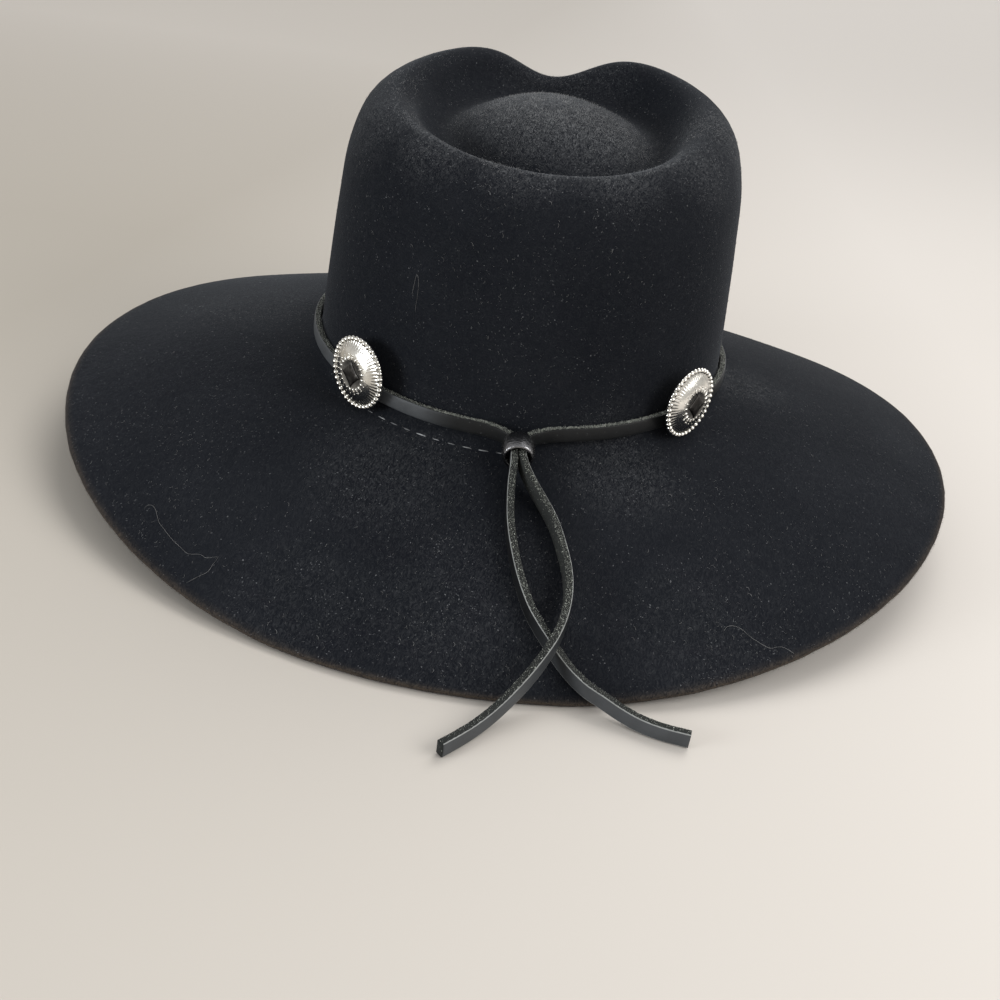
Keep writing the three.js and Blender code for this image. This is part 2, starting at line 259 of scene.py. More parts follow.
@dataclass(frozen=True)
class CrownRow:
    """One row up the crown, as shares of the block's sizes."""

    width: float
    length: float
    rise: float
    follow: float
    dent: float = 0.0
    back: float = 0.0


@dataclass(frozen=True)
class HatBlock:
    """The shape that the felt is blocked to, in metres and degrees.

    Angles are in radians, 0 at the back of the hat and a quarter turn at +X. Stations count the
    rows from the brim's edge to the middle of the crown's top.
    """

    felt: float = 0.0025
    crown_width: float = 0.173
    crown_length: float = 0.196
    crown_height: float = 0.1053
    crown_setback: float = 0.0026
    crown_sidestep: float = 0.0009
    crest_rise: float = 0.0133
    back_dip: float = 0.0024
    dip_turn: float = -30.0
    brim_width: float = 0.1018
    break_saddle: float = 0.0049
    rest_press: float = 0.0015
    side_droop: float = 10.7
    back_droop: float = 23.0
    front_droop: float = 18.9
    droop_curl: float = 0.36
    droop_focus: float = 2.3
    pinch_depth: float = 0.0132
    pinch_dent: float = 0.0059
    pinch_spread: float = 15.0
    dent_spread: float = 22.0
    dress_turn: float = -7.5
    frame_step: float = 0.02
    brim_rows: tuple[float, ...] = (1, 0.985, 0.95, 0.86, 0.72, 0.56, 0.4, 0.26, 0.14, 0.032)
    crown_rows: tuple[CrownRow, ...] = (
        CrownRow(0.999, 0.999, 0.030, 0.00),
        CrownRow(0.990, 0.992, 0.115, 0.03),
        CrownRow(0.971, 0.978, 0.300, 0.15),
        CrownRow(0.938, 0.956, 0.580, 0.45, 0.2),
        CrownRow(0.902, 0.933, 0.800, 0.80, 0.5),
        CrownRow(0.840, 0.889, 0.935, 0.95, 0.9),
        CrownRow(0.774, 0.838, 0.985, 1.00, 1.0),
        CrownRow(0.700, 0.788, 1.000, 1.00, 1.0),
        CrownRow(0.634, 0.737, 0.975, 1.00, 1.0),
        CrownRow(0.585, 0.690, 0.905, 0.95, 0.8),
        CrownRow(0.530, 0.615, 0.855, 0.80, 0.5),
        CrownRow(0.465, 0.530, 0.855, 0.62, 0.2, 0.01),
        CrownRow(0.360, 0.410, 0.905, 0.42, 0.0, 0.02),
        CrownRow(0.190, 0.215, 0.960, 0.22, 0.0, 0.03),
        CrownRow(0.000, 0.000, 0.978, 0.00, 0.0, 0.04),
    )

    @property
    def wall_start(self) -> int:
        """The station of the crown's first row."""
        return len(self.brim_rows)

    @property
    def last(self) -> int:
        """The station of the middle of the crown's top."""
        return len(self.brim_rows) + len(self.crown_rows) - 1

    @property
    def tie_angle(self) -> float:
        """The angle of the bead."""
        return math.radians(self.dress_turn)

    def at_front(self, angles: np.ndarray, spread: float) -> np.ndarray:
        """1 at the middle of the front, falling off to the sides over a number of degrees."""
        away = (np.degrees(angles) - self.dress_turn) % 360 - 180
        return np.exp(-0.5 * (away / spread) ** 2)

    def break_points(self, angles: np.ndarray) -> np.ndarray:
        """The line where the brim leaves the crown."""
        x = self.crown_width / 2 * np.sin(angles)
        y = self.crown_length / 2 * np.cos(angles)
        return np.stack([x, y, self.break_saddle * (0.5 - np.cos(angles) ** 2)], axis=-1)

    def brim_knots(self, angles: np.ndarray) -> np.ndarray:
        """The rows of the brim's top, which bends down along an arc from the break to the edge."""
        share = np.array(self.brim_rows)
        ends = (np.abs(np.cos(angles)) ** self.droop_focus)[:, None]
        end_droop = np.where(np.cos(angles) > 0, self.back_droop, self.front_droop)[:, None]
        droop = np.radians(self.side_droop + (end_droop - self.side_droop) * ends)
        start, bend = droop * (1 - self.droop_curl), 2 * droop * self.droop_curl
        reach = self.brim_width * (np.sin(start + bend * share) - np.sin(start)) / bend
        drop = self.brim_width * (np.cos(start) - np.cos(start + bend * share)) / bend
        across = (self.crown_length * np.sin(angles), self.crown_width * np.cos(angles), 0 * angles)
        out = unit(np.stack(across, axis=-1))
        return self.break_points(angles)[:, None] + reach[..., None] * out[:, None] - drop[..., None] * Z_UP

    def crown_knots(self, angles: np.ndarray) -> np.ndarray:
        """The rows of the crown, over the crest and down into the telescoped top."""
        dip = self.back_dip * np.maximum(0, np.cos(angles - math.radians(self.dip_turn))) ** 2
        crest = -self.crest_rise * np.cos(angles) - dip
        pinch = self.pinch_depth * self.at_front(angles, self.pinch_spread)
        dent = self.pinch_dent * self.at_front(angles, self.dent_spread)
        base = self.break_points(angles)
        rows = []
        for row in self.crown_rows:
            setback = self.crown_setback * row.rise + self.crown_length / 2 * row.back
            x = base[:, 0] * row.width - self.crown_sidestep * row.rise
            y = base[:, 1] * row.length + setback + dent * row.dent
            slope = crest * row.follow - pinch * row.dent + base[:, 2] * max(0, 1 - row.rise)
            z = self.crown_height * row.rise + slope
            rows.append(np.stack([x, y, z], axis=-1))
        return np.stack(rows, axis=1)

    def block(self, stations: np.ndarray, angles: np.ndarray) -> np.ndarray:
        """Points of the block in its own frame, as an array of angles, stations and coordinates."""
        knots = np.concatenate([self.brim_knots(angles), self.crown_knots(angles)], axis=1)
        return centripetal(knots, stations)

    def block_frames(self, stations: np.ndarray, angles: np.ndarray) -> tuple[np.ndarray, np.ndarray]:
        """Unit vectors up the line and outward from the felt, in the block's own frame."""
        step = self.frame_step
        low = self.block(np.maximum(stations - step, 0), angles)
        up = unit(self.block(np.minimum(stations + step, self.last), angles) - low)
        round_it = self.block(stations, angles + step) - self.block(stations, angles - step)
        crossed = np.cross(up, round_it)
        crossed[:, stations >= self.last] = Z_UP
        return up, unit(crossed)

    def resting(self) -> tuple[np.ndarray, np.ndarray]:
        """The turn and the shift that stand the brim's front and back on the surface."""
        ends, edge = np.array([0, math.pi]), np.array([0.0])
        top = self.block(edge, ends)[:, 0]
        under = top - self.felt * self.block_frames(edge, ends)[1][:, 0]
        tip = math.atan2(under[1, 2] - under[0, 2], under[0, 1] - under[1, 1])
        turn = np.array(Matrix.Rotation(tip, 3, "X"))
        middle = (top @ turn.T)[:, 1].mean()
        lowest = (under @ turn.T)[0, 2]
        return turn, np.array([0, -middle, -lowest - self.rest_press])

    def frames(self, stations: np.ndarray, angles: np.ndarray) -> tuple[np.ndarray, np.ndarray]:
        """Unit vectors up the line and outward from the felt, in the hat's frame."""
        turn = self.resting()[0]
        up, outward = self.block_frames(stations, angles)
        return up @ turn.T, outward @ turn.T

    def surface(self, stations: np.ndarray, angles: np.ndarray, depth: float = 0.0) -> np.ndarray:
        """Points at a depth under the hat's outside.

        Args:
            stations: Places from the brim's edge to the middle of the top.
            angles: Places round the hat.
            depth: How far under the outside, and above it where negative.

        Returns:
            An array of angles, stations and coordinates, in the hat's frame.
        """
        turn, shift = self.resting()
        return self.block(stations, angles) @ turn.T + shift - depth * self.frames(stations, angles)[1]

    def point(self, station: float, angle: float, depth: float = 0.0) -> np.ndarray:
        """One point at a depth under the hat's outside."""
        return self.surface(np.array([station]), np.array([angle]), depth)[0, 0]

    def station_out(self, distance: float) -> float:
        """The station whose brim at the side stands a distance out from the crown."""
        fine = np.linspace(0, self.wall_start, 4000)
        out = self.block(fine, np.array([math.pi / 2]))[0, :, 0] - self.crown_width / 2
        return float(np.interp(-distance, -out, fine))

    def station_up(self, height: float) -> float:
        """The station whose wall at the side stands a height over the break."""
        fine = np.linspace(self.wall_start - 1, self.wall_start + 3, 4000)
        side = np.array([math.pi / 2])
        up = self.block(fine, side)[0, :, 2] - self.break_points(side)[0, 2]
        return float(np.interp(height, up, fine))


@dataclass(frozen=True)
class LaceSection:
    """A place along the lace: its middle, the direction of its grain side, and up its width."""

    middle: np.ndarray
    across: np.ndarray
    up: np.ndarray


@dataclass(frozen=True)
class Tie:
    """Where the lace runs round the crown, leaves it and bends into the bead."""

    block: HatBlock
    gap: float = 0.0003
    felt_gap: float = 0.0005
    lace_width: float = 0.005
    lace_thickness: float = 0.0026
    band_lift: float = 0.0007
    bead_diameter: float = 0.0118
    bead_length: float = 0.0086
    bead_standoff: float = 0.0048
    turn_reach: float = 0.016
    turn_setback: float = 0.002
    entry_depth: float = 0.001

    @property
    def centre(self) -> np.ndarray:
        """The middle of the bead."""
        middle = self.block.station_out(self.bead_standoff + self.bead_length / 2)
        return self.block.point(middle, self.block.tie_angle, -self.bead_diameter / 2 - 1.5 * self.felt_gap)

    @property
    def axis(self) -> np.ndarray:
        """The direction of the bore, down the brim's slope."""
        far, near = (
            self.block.point(self.block.station_out(out), self.block.tie_angle)
            for out in (self.bead_standoff + self.bead_length, self.bead_standoff)
        )
        return unit(far - near)

    @property
    def side(self) -> np.ndarray:
        """The direction across the bore, towards +X."""
        return -unit(np.cross(Z_UP, self.axis))

    def in_bead(self, along: float, hand: Hand) -> np.ndarray:
        """Where the lace stands at a distance from the bead's middle."""
        offset = hand.value * (self.lace_thickness + self.gap) * 0.5
        return self.centre + self.axis * along + self.side * offset

    def wall_section(self, angle: float) -> LaceSection:
        """The lace's section on the straight foot of the wall."""
        foot = self.block.point(self.block.wall_start, angle)
        up = unit(self.block.point(self.block.wall_start + 1, angle) - foot)
        outward = self.block.frames(np.array([float(self.block.wall_start)]), np.array([angle]))[1][0, 0]
        across = unit(np.cross(up, unit(np.cross(outward, up))))
        middle = foot + up * (self.band_lift + self.lace_width / 2)
        return LaceSection(middle + across * (self.felt_gap + self.lace_thickness / 2), across, up)

    def turn_sections(self, hand: Hand, steps: int) -> list[LaceSection]:
        """The lace's sections from the wall into the bead.

        Args:
            hand: The side of the bore.
            steps: How many steps the bend takes.

        Returns:
            The sections, from the wall to the bead's middle.
        """
        reach = hand.value * self.turn_reach * 2 / self.block.crown_width
        start = self.wall_section(self.block.tie_angle + reach)
        leave = self.wall_section(self.block.tie_angle + 0.6 * reach).middle
        corner = self.in_bead(-self.bead_length / 2 - self.turn_setback, hand)
        entry = self.in_bead(-self.bead_length / 2 + self.entry_depth, hand)
        bead_up = unit(np.cross(self.side, self.axis))
        sections = []
        for share in np.linspace(0, 1, steps + 1):
            rest = 1 - share
            near = rest**3 * start.middle + 3 * rest**2 * share * leave
            middle = near + 3 * rest * share**2 * corner + share**3 * entry
            tangent = rest**2 * (leave - start.middle) + 2 * rest * share * (corner - leave)
            tangent = tangent + share**2 * (entry - corner)
            up = unit(start.up * rest + bead_up * share)
            sections.append(LaceSection(middle, unit(np.cross(tangent, up)) * hand.value, up))
        last = sections[-1]
        sections.append(LaceSection(self.in_bead(-self.gap / 2, hand), last.across, last.up))
        return sections


class NodeBuilder:
    """Adds nodes to a tree and links them."""

    def __init__(self, tree: bpy.types.NodeTree) -> None:
        """Keeps the tree.

        Args:
            tree: The tree to build in.
        """
        self.tree = tree

    def add(self, kind: str, inputs: dict | None = None, **settings: object) -> bpy.types.Node:
        """Adds one node.

        Args:
            kind: The node's type name.
            inputs: Values or sockets for the node's inputs, by their names or numbers.
            **settings: The node's own properties.

        Returns:
            The new node.
        """
        node = self.tree.nodes.new(kind)
        for key, value in settings.items():
            setattr(node, key, value)
        self.feed(node, inputs or {})
        return node

    def feed(self, node: bpy.types.Node, inputs: dict) -> None:
        """Links or sets a node's inputs, by their names or numbers."""
        for key, value in inputs.items():
            if isinstance(value, bpy.types.NodeSocket):
                self.tree.links.new(value, node.inputs[key])
            else:
                node.inputs[key].default_value = value

    def attribute(self, name: str) -> bpy.types.NodeSocket:
        """Reads a number that the mesh stores."""
        return self.add("ShaderNodeAttribute", attribute_name=name).outputs["Fac"]

    def math(self, operation: str, first: object, second: object = 0.0) -> bpy.types.NodeSocket:
        """Adds a Math node and gives its output."""
        node = self.add("ShaderNodeMath", {0: first, 1: second}, operation=operation)
        return node.outputs[0]

    def blend(self, share: object, first: object, second: object) -> bpy.types.NodeSocket:
        """Adds a colour Mix node and gives its colour."""
        inputs = {"Factor": share, 6: first, 7: second}
        return self.add("ShaderNodeMix", inputs, data_type="RGBA").outputs[2]

    def random(self, low: object, high: object, seed: object) -> bpy.types.NodeSocket:
        """Adds a Random Value node and gives its number."""
        inputs = {2: low, 3: high, "Seed": seed}
        return self.add("FunctionNodeRandomValue", inputs, data_type="FLOAT").outputs[1]

    def grade(
        self, value: object, from_low: object, from_high: object, to_low: object, to_high: object
    ) -> bpy.types.NodeSocket:
        """Adds a clamped Map Range node and gives its result."""
        inputs = {0: value, 1: from_low, 2: from_high, 3: to_low, 4: to_high}
        return self.add("ShaderNodeMapRange", inputs, clamp=True).outputs[0]


def new_group(name: str, inputs: dict[str, float], outputs: list[str]) -> tuple[NodeBuilder, dict, dict]:
    """Starts a shader node group that reads a place and some values and puts out values.

    Args:
        name: The group's name.
        inputs: The names of its number inputs, with their defaults.
        outputs: The names of its number outputs.

    Returns:
        The builder, the input sockets by name, and the output node's sockets by name.
    """
    tree = bpy.data.node_groups.new(name, "ShaderNodeTree")
    tree.interface.new_socket(name="Place", in_out="INPUT", socket_type="NodeSocketVector")
    for key, value in inputs.items():
        socket = tree.interface.new_socket(name=key, in_out="INPUT", socket_type="NodeSocketFloat")
        socket.default_value = value
    for key in outputs:
        tree.interface.new_socket(name=key, in_out="OUTPUT", socket_type="NodeSocketFloat")
    entry, out = tree.nodes.new("NodeGroupInput"), tree.nodes.new("NodeGroupOutput")
    given, wanted = ({s.name: s for s in ends if s.name} for ends in (entry.outputs, out.inputs))
    return NodeBuilder(tree), given, wanted


@dataclass
class SurfaceEffects:
    """The shader node groups that several finishes share."""

    groups: dict[str, bpy.types.NodeTree] = field(default_factory=dict)

    def build(self) -> None:
        """Builds every group once."""
        for make in (self.mottle, self.speckle, self.fibres, self.leather_grain):
            self.groups[make.__name__] = make()

    def mottle(self) -> bpy.types.NodeTree:
        """Soft cloudy patches, from 0 to 1."""
        nodes, given, out = new_group("mottle", {"Scale": 30.0, "Low": 0.4, "High": 0.6}, ["Value"])
        inputs = {"Vector": given["Place"], "Scale": given["Scale"], "Detail": 5.0, "Roughness": 0.6}
        noise = nodes.add("ShaderNodeTexNoise", inputs)
        value = nodes.grade(noise.outputs[0], given["Low"], given["High"], 0.0, 1.0)
        nodes.tree.links.new(value, out["Value"])
        return nodes.tree

    def speckle(self) -> bpy.types.NodeTree:
        """Small ragged specks, whose number and size change from place to place."""
        inputs = {"Scale": 700.0, "Size": 0.2, "Patch Scale": 40.0, "Share": 0.5}
        nodes, given, out = new_group("speckle", inputs, ["Mask"])
        warp_scale = nodes.math("MULTIPLY", given["Scale"], 0.8)
        warp = nodes.add("ShaderNodeTexNoise", {"Vector": given["Place"], "Scale": warp_scale})
        reach = nodes.math("DIVIDE", 1.8, given["Scale"])
        inputs = {0: warp.outputs["Color"], "Scale": reach}
        lean = nodes.add("ShaderNodeVectorMath", inputs, operation="SCALE")
        moved = nodes.add("ShaderNodeVectorMath", {0: given["Place"], 1: lean.outputs[0]})
        cells = nodes.add(
            "ShaderNodeTexVoronoi", {"Vector": moved.outputs[0], "Scale": given["Scale"], "Randomness": 1.0}
        )
        chosen = nodes.add("ShaderNodeSeparateColor", {0: cells.outputs["Color"]})
        inputs = {"Vector": given["Place"], "Scale": given["Patch Scale"], "Detail": 3.0}
        patch = nodes.add("ShaderNodeTexNoise", inputs)
        share = nodes.math("MULTIPLY", given["Share"], nodes.grade(patch.outputs[0], 0.35, 0.7, 0.1, 2.0))
        kept = nodes.math("LESS_THAN", chosen.outputs[0], share)
        size = nodes.math("MULTIPLY", given["Size"], nodes.grade(chosen.outputs[1], 0.0, 1.0, 0.3, 1.0))
        dot = nodes.grade(cells.outputs["Distance"], size, nodes.math("MULTIPLY", size, 0.4), 0.0, 1.0)
        strength = nodes.grade(chosen.outputs[2], 0.0, 1.0, 0.2, 1.0)
        mask = nodes.math("MULTIPLY", nodes.math("MULTIPLY", dot, kept), strength)
        nodes.tree.links.new(mask, out["Mask"])
        return nodes.tree

    def fibres(self) -> bpy.types.NodeTree:
        """A matted nap: fine fibres that lie in every direction."""
        nodes, given, out = new_group("fibres", {"Scale": 900.0, "Stretch": 6.0}, ["Height", "Tone"])
        wander = nodes.add("ShaderNodeTexNoise", {"Vector": given["Place"], "Scale": 260.0, "Detail": 2.0})
        inputs = {0: wander.outputs["Color"], 1: (0.004, 0.004, 0.004)}
        lean = nodes.add("ShaderNodeVectorMath", inputs, operation="MULTIPLY")
        moved = nodes.add("ShaderNodeVectorMath", {0: given["Place"], 1: lean.outputs[0]})
        heights = []
        for turn in ((0.3, 0.2, 0.0), (1.1, 0.4, 1.0), (0.5, 1.3, 2.1)):
            laid = nodes.add(
                "ShaderNodeMapping", {"Vector": moved.outputs[0], "Rotation": turn, "Scale": (1.0, 0.16, 1.0)}
            )
            noise = nodes.add(
                "ShaderNodeTexNoise", {"Vector": laid.outputs[0], "Scale": given["Scale"], "Detail": 3.0}
            )
            heights.append(noise.outputs[0])
        highest = nodes.math("MAXIMUM", nodes.math("MAXIMUM", heights[0], heights[1]), heights[2])
        nodes.tree.links.new(highest, out["Height"])
        tone = nodes.grade(highest, 0.5, 0.75, 0.0, 1.0)
        nodes.tree.links.new(tone, out["Tone"])
        return nodes.tree

    def leather_grain(self) -> bpy.types.NodeTree:
        """Fine pebbled grain with shallow pores."""
        nodes, given, out = new_group("leather_grain", {"Scale": 1500.0}, ["Height"])
        pebbles = nodes.add("ShaderNodeTexVoronoi", {"Vector": given["Place"], "Scale": given["Scale"]})
        noise = nodes.add(
            "ShaderNodeTexNoise",
            {"Vector": given["Place"], "Scale": nodes.math("MULTIPLY", given["Scale"], 0.35), "Detail": 4.0},
        )
        low = nodes.math("MULTIPLY", pebbles.outputs["Distance"], 0.5)
        nodes.tree.links.new(nodes.math("ADD", low, noise.outputs[0]), out["Height"])
        return nodes.tree

    def mottled(
        self, nodes: NodeBuilder, place: object, scale: float, low: float, high: float
    ) -> bpy.types.NodeSocket:
        """Puts cloudy patches into a material and gives their value."""
        inputs = {"Place": place, "Scale": scale, "Low": low, "High": high}
        return self.place(nodes, "mottle", inputs).outputs[0]

    def speckled(
        self, nodes: NodeBuilder, place: object, scale: float, size: float, patch: float, share: object
    ) -> bpy.types.NodeSocket:
        """Puts specks into a material and gives their mask."""
        inputs = {"Place": place, "Scale": scale, "Size": size, "Patch Scale": patch, "Share": share}
        return self.place(nodes, "speckle", inputs).outputs[0]

    def place(self, nodes: NodeBuilder, name: str, inputs: dict) -> bpy.types.Node:
        """Puts a group into a material.

        Args:
            nodes: The material's builder.
            name: The group's name.
            inputs: Values or sockets for its inputs.

        Returns:
            The group's node.
        """
        return nodes.add("ShaderNodeGroup", inputs, node_tree=self.groups[name])


EFFECTS = SurfaceEffects()


def new_material(name: str) -> tuple[bpy.types.Material, NodeBuilder, bpy.types.Node, bpy.types.NodeSocket]:
    """Starts a material.

    Args:
        name: The material's name.

    Returns:
        The material, its builder, its Principled BSDF and the Object coordinates.
    """
    material = bpy.data.materials.new(name)
    material.use_nodes = True
    material.node_tree.nodes.clear()
    nodes = NodeBuilder(material.node_tree)
    shader = nodes.add("ShaderNodeBsdfPrincipled")
    nodes.add("ShaderNodeOutputMaterial", {"Surface": shader.outputs[0]})
    place = nodes.add("ShaderNodeTexCoord").outputs["Object"]
    return material, nodes, shader, place


def add_bump(
    nodes: NodeBuilder, shader: bpy.types.Node, height: object, distance: float, strength: float
) -> None:
    """Feeds a height into the shader's normal.

    Args:
        nodes: The material's builder.
        shader: The shader.
        height: The socket that gives the height.
        distance: The height's size in metres.
        strength: How much of it shows.
    """
    bump = nodes.add("ShaderNodeBump", {"Height": height, "Distance": distance, "Strength": strength})
    nodes.feed(shader, {"Normal": bump.outputs[0]})


@dataclass(frozen=True)
class FeltFinish:
    """Black wool felt: short nap, cloudy worn patches, dusty specks and haze with a painted sheen on the
    crown's top, and a raw edge with bare fibre.
    """

    dark: tuple = (0.0076, 0.0088, 0.0118, 1)
    worn: tuple = (0.0104, 0.0118, 0.0152, 1)
    # The pale grey of dust specks, and of the haze that is part dust and part painted sheen.
    dust: tuple = (0.150, 0.155, 0.162, 1)
    bare: tuple = (0.080, 0.063, 0.048, 1)
    roughness: float = 0.95
    gloss: float = 0.04
    sheen: float = 0.10
    sheen_roughness: float = 0.3
    sheen_tint: tuple = (0.86, 0.92, 1.0, 1)
    cloud_scale: float = 22.0
    nap_scale: float = 2000.0
    nap_depth: float = 0.0004
    tuft_scale: float = 420.0
    fine_specks: tuple[float, float, float] = (1500.0, 0.44, 60.0)
    coarse_specks: tuple[float, float, float] = (430.0, 0.16, 16.0)
    coarse_share: float = 0.045

    def make(self) -> bpy.types.Material:
        """Builds the material."""
        material, nodes, shader, place = new_material("wool_felt")
        cloud = EFFECTS.mottled(nodes, place, self.cloud_scale, 0.42, 0.66)
        nap = EFFECTS.place(nodes, "fibres", {"Place": place, "Scale": self.nap_scale})
        tufts = EFFECTS.mottled(nodes, place, self.tuft_scale, 0.3, 0.7)
        dust_and_sheen_here = nodes.attribute("dust")
        fine_share = nodes.grade(dust_and_sheen_here, 0.0, 1.0, 0.08, 0.85)
        fine = EFFECTS.speckled(nodes, place, *self.fine_specks, fine_share)
        coarse = EFFECTS.speckled(nodes, place, *self.coarse_specks, self.coarse_share)
        felt = nodes.blend(cloud, self.dark, self.worn)
        # A pale haze over the nap: dusty on the brim, and on the crown's top and near rim a painted sheen and
        # painted highlight that stand in for the overhead light grazing the nap.
        dust_and_sheen_haze = nodes.grade(dust_and_sheen_here, 0.0, 1.0, 0.06, 0.75)
        clumps = nodes.math("MULTIPLY", nap.outputs["Tone"], nodes.grade(tufts, 0.0, 1.0, 0.4, 1.6))
        lit = nodes.blend(nodes.math("MULTIPLY", clumps, dust_and_sheen_haze), felt, self.dust)
        dusty = nodes.blend(nodes.math("MAXIMUM", fine, coarse), lit, self.dust)
        raw = nodes.grade(nap.outputs["Height"], 0.45, 0.7, 0.2, 1.0)
        patchy = nodes.math("MULTIPLY", nodes.attribute("edge"), raw)
        nodes.feed(shader, {"Base Color": nodes.blend(patchy, dusty, self.bare)})
        add_bump(nodes, shader, nap.outputs["Height"], self.nap_depth, 0.6)
        constants = {
            "Roughness": self.roughness,
            "Specular IOR Level": self.gloss,
            "Sheen Weight": self.sheen,
            "Sheen Roughness": self.sheen_roughness,
            "Sheen Tint": self.sheen_tint,
        }
        nodes.feed(shader, constants)
        return material


@dataclass(frozen=True)
class LeatherFinish:
    """One face of black leather: smooth grain, a burnished corner, a rough cut or the flesh side."""

    name: str
    base: tuple
    flecks: tuple
    roughness: tuple[float, float]
    fleck_share: float
    fleck_scale: float
    grain_scale: float
    grain_depth: float
    # The share of the tone that the grain keeps where the painted shade is deepest.
    shaded_tone: float = 1.0
    gloss: float = 0.5

    def make(self) -> bpy.types.Material:
        """Builds the material."""
        material, nodes, shader, place = new_material(self.name)
        grain = EFFECTS.place(nodes, "leather_grain", {"Place": place, "Scale": self.grain_scale})
        cloud = EFFECTS.mottled(nodes, place, 120.0, 0.3, 0.7)
        wear = nodes.attribute("wear")
        share = nodes.grade(wear, 0.0, 1.0, 0.2 * self.fleck_share, self.fleck_share)
        dots = EFFECTS.speckled(nodes, place, self.fleck_scale, 0.45, 300.0, share)
        darker = tuple(value * 0.75 for value in self.base[:3]) + (1,)
        tone = nodes.blend(cloud, darker, self.base)
        # Painted shade: the grain side darkens towards black where the lace's per-point share is high, near
        # the bead and on the band's right; faces with a shaded tone of 1 keep their colour.
        tone = nodes.blend(nodes.math("MULTIPLY", wear, 1 - self.shaded_tone), tone, (0, 0, 0, 1))
        rough = nodes.grade(cloud, 0.0, 1.0, *self.roughness)
        nodes.feed(shader, {"Base Color": nodes.blend(dots, tone, self.flecks), "Roughness": rough})
        height = nodes.math("ADD", grain.outputs[0], nodes.math("MULTIPLY", dots, 0.6))
        add_bump(nodes, shader, height, self.grain_depth, 0.6)
        nodes.feed(shader, {"Specular IOR Level": self.gloss})
        return material


@dataclass(frozen=True)
class MetalFinish:
    """Plated metal with fine scratches, pits and tarnish where the tarnish attribute says."""

    name: str
    bright: tuple
    tarnished: tuple
    roughness: float
    tarnished_roughness: float
    pit_scale: float
    pit_depth: float

    def make(self) -> bpy.types.Material:
        """Builds the material."""
        material, nodes, shader, place = new_material(self.name)
        spread = nodes.math("MULTIPLY", EFFECTS.mottled(nodes, place, 380.0, 0.35, 0.75), 0.25)
        inputs = {0: nodes.attribute("tarnish"), 1: spread}
        mask = nodes.add("ShaderNodeMath", inputs, operation="ADD", use_clamp=True).outputs[0]
        rough = nodes.grade(mask, 0.0, 1.0, self.roughness, self.tarnished_roughness)
        tone = nodes.blend(mask, self.bright, self.tarnished)
        nodes.feed(shader, {"Base Color": tone, "Roughness": rough})
        pits = nodes.add("ShaderNodeTexNoise", {"Vector": place, "Scale": self.pit_scale, "Detail": 3.0})
        add_bump(nodes, shader, pits.outputs[0], self.pit_depth, 0.5)
        nodes.feed(shader, {"Metallic": 1.0})
        return material


@dataclass(frozen=True)
class ThreadFinish:
    """Thread or loose fibre, in one tone with slight change along it."""

    name: str
    pale: tuple
    deep: tuple
    roughness: float = 0.6
    cloud_scale: float = 160.0

    def make(self) -> bpy.types.Material:
        """Builds the material."""
        material, nodes, shader, place = new_material(self.name)
        cloud = EFFECTS.mottled(nodes, place, self.cloud_scale, 0.4, 0.6)
        nodes.feed(shader, {"Base Color": nodes.blend(cloud, self.deep, self.pale)})
        twist = nodes.add("ShaderNodeTexNoise", {"Vector": place, "Scale": 2600.0})
        add_bump(nodes, shader, twist.outputs[0], 0.0001, 0.4)
        nodes.feed(shader, {"Roughness": self.roughness, "Sheen Weight": 0.2})
        return material


@dataclass(frozen=True)
class PaperFinish:
    """The pale floor, with a painted shade that darkens it on one side of the hat."""

    bright: tuple = (0.655, 0.62, 0.585, 1)
    deep: tuple = (0.40, 0.368, 0.322, 1)
    reach: float = 0.26
    far: tuple[float, float] = (-1.2, -0.2)
    far_share: float = 0.45

    def make(self) -> bpy.types.Material:
        """Builds the material."""
        material, nodes, shader, place = new_material("pale_floor")
        parts = nodes.add("ShaderNodeSeparateXYZ", {0: place})
        side = nodes.grade(parts.outputs[0], -self.reach, self.reach, 0.0, 1.0)
        near = nodes.grade(parts.outputs[1], *self.far, self.far_share, 1.0)
        share = nodes.math("MULTIPLY", side, near)
        # Painted shade: the floor darkens towards +X, and less so far behind the hat.
        tone = nodes.blend(share, self.bright, self.deep)
        nodes.feed(shader, {"Base Color": tone, "Roughness": 0.75, "Specular IOR Level": 0.3})
        return material


def lace_finishes() -> list[bpy.types.Material]:
    """The materials of the lace's faces, in the order of LaceFace."""
    # The grain's base is pale for black leather, a painted reflection of the window on the band's left; its
    # shaded tone of 0.14 gives the painted shade near the bead and on the right.
    grain = LeatherFinish(
        "lace_grain", (0.068, 0.073, 0.079, 1), (0.10, 0.105, 0.11, 1), (0.36, 0.48), 0.08, 1800.0, 1500.0,
        0.00006, shaded_tone=0.14, gloss=0.24,
    )
    burnished = LeatherFinish(
        "lace_burnished", (0.26, 0.27, 0.265, 1), (0.45, 0.47, 0.44, 1), (0.38, 0.50), 0.50, 1300.0, 1500.0,
        0.0002,
    )
    cut = LeatherFinish(
        "lace_cut", (0.008, 0.010, 0.009, 1), (0.58, 0.61, 0.54, 1), (0.80, 0.95), 0.85, 1500.0, 1900.0,
        0.0005,
    )
    flesh = LeatherFinish(
        "lace_flesh", (0.014, 0.016, 0.015, 1), (0.22, 0.23, 0.20, 1), (0.80, 0.95), 0.40, 2000.0, 1500.0,
        0.0005,
    )
    return [finish.make() for finish in (grain, burnished, cut, flesh)]


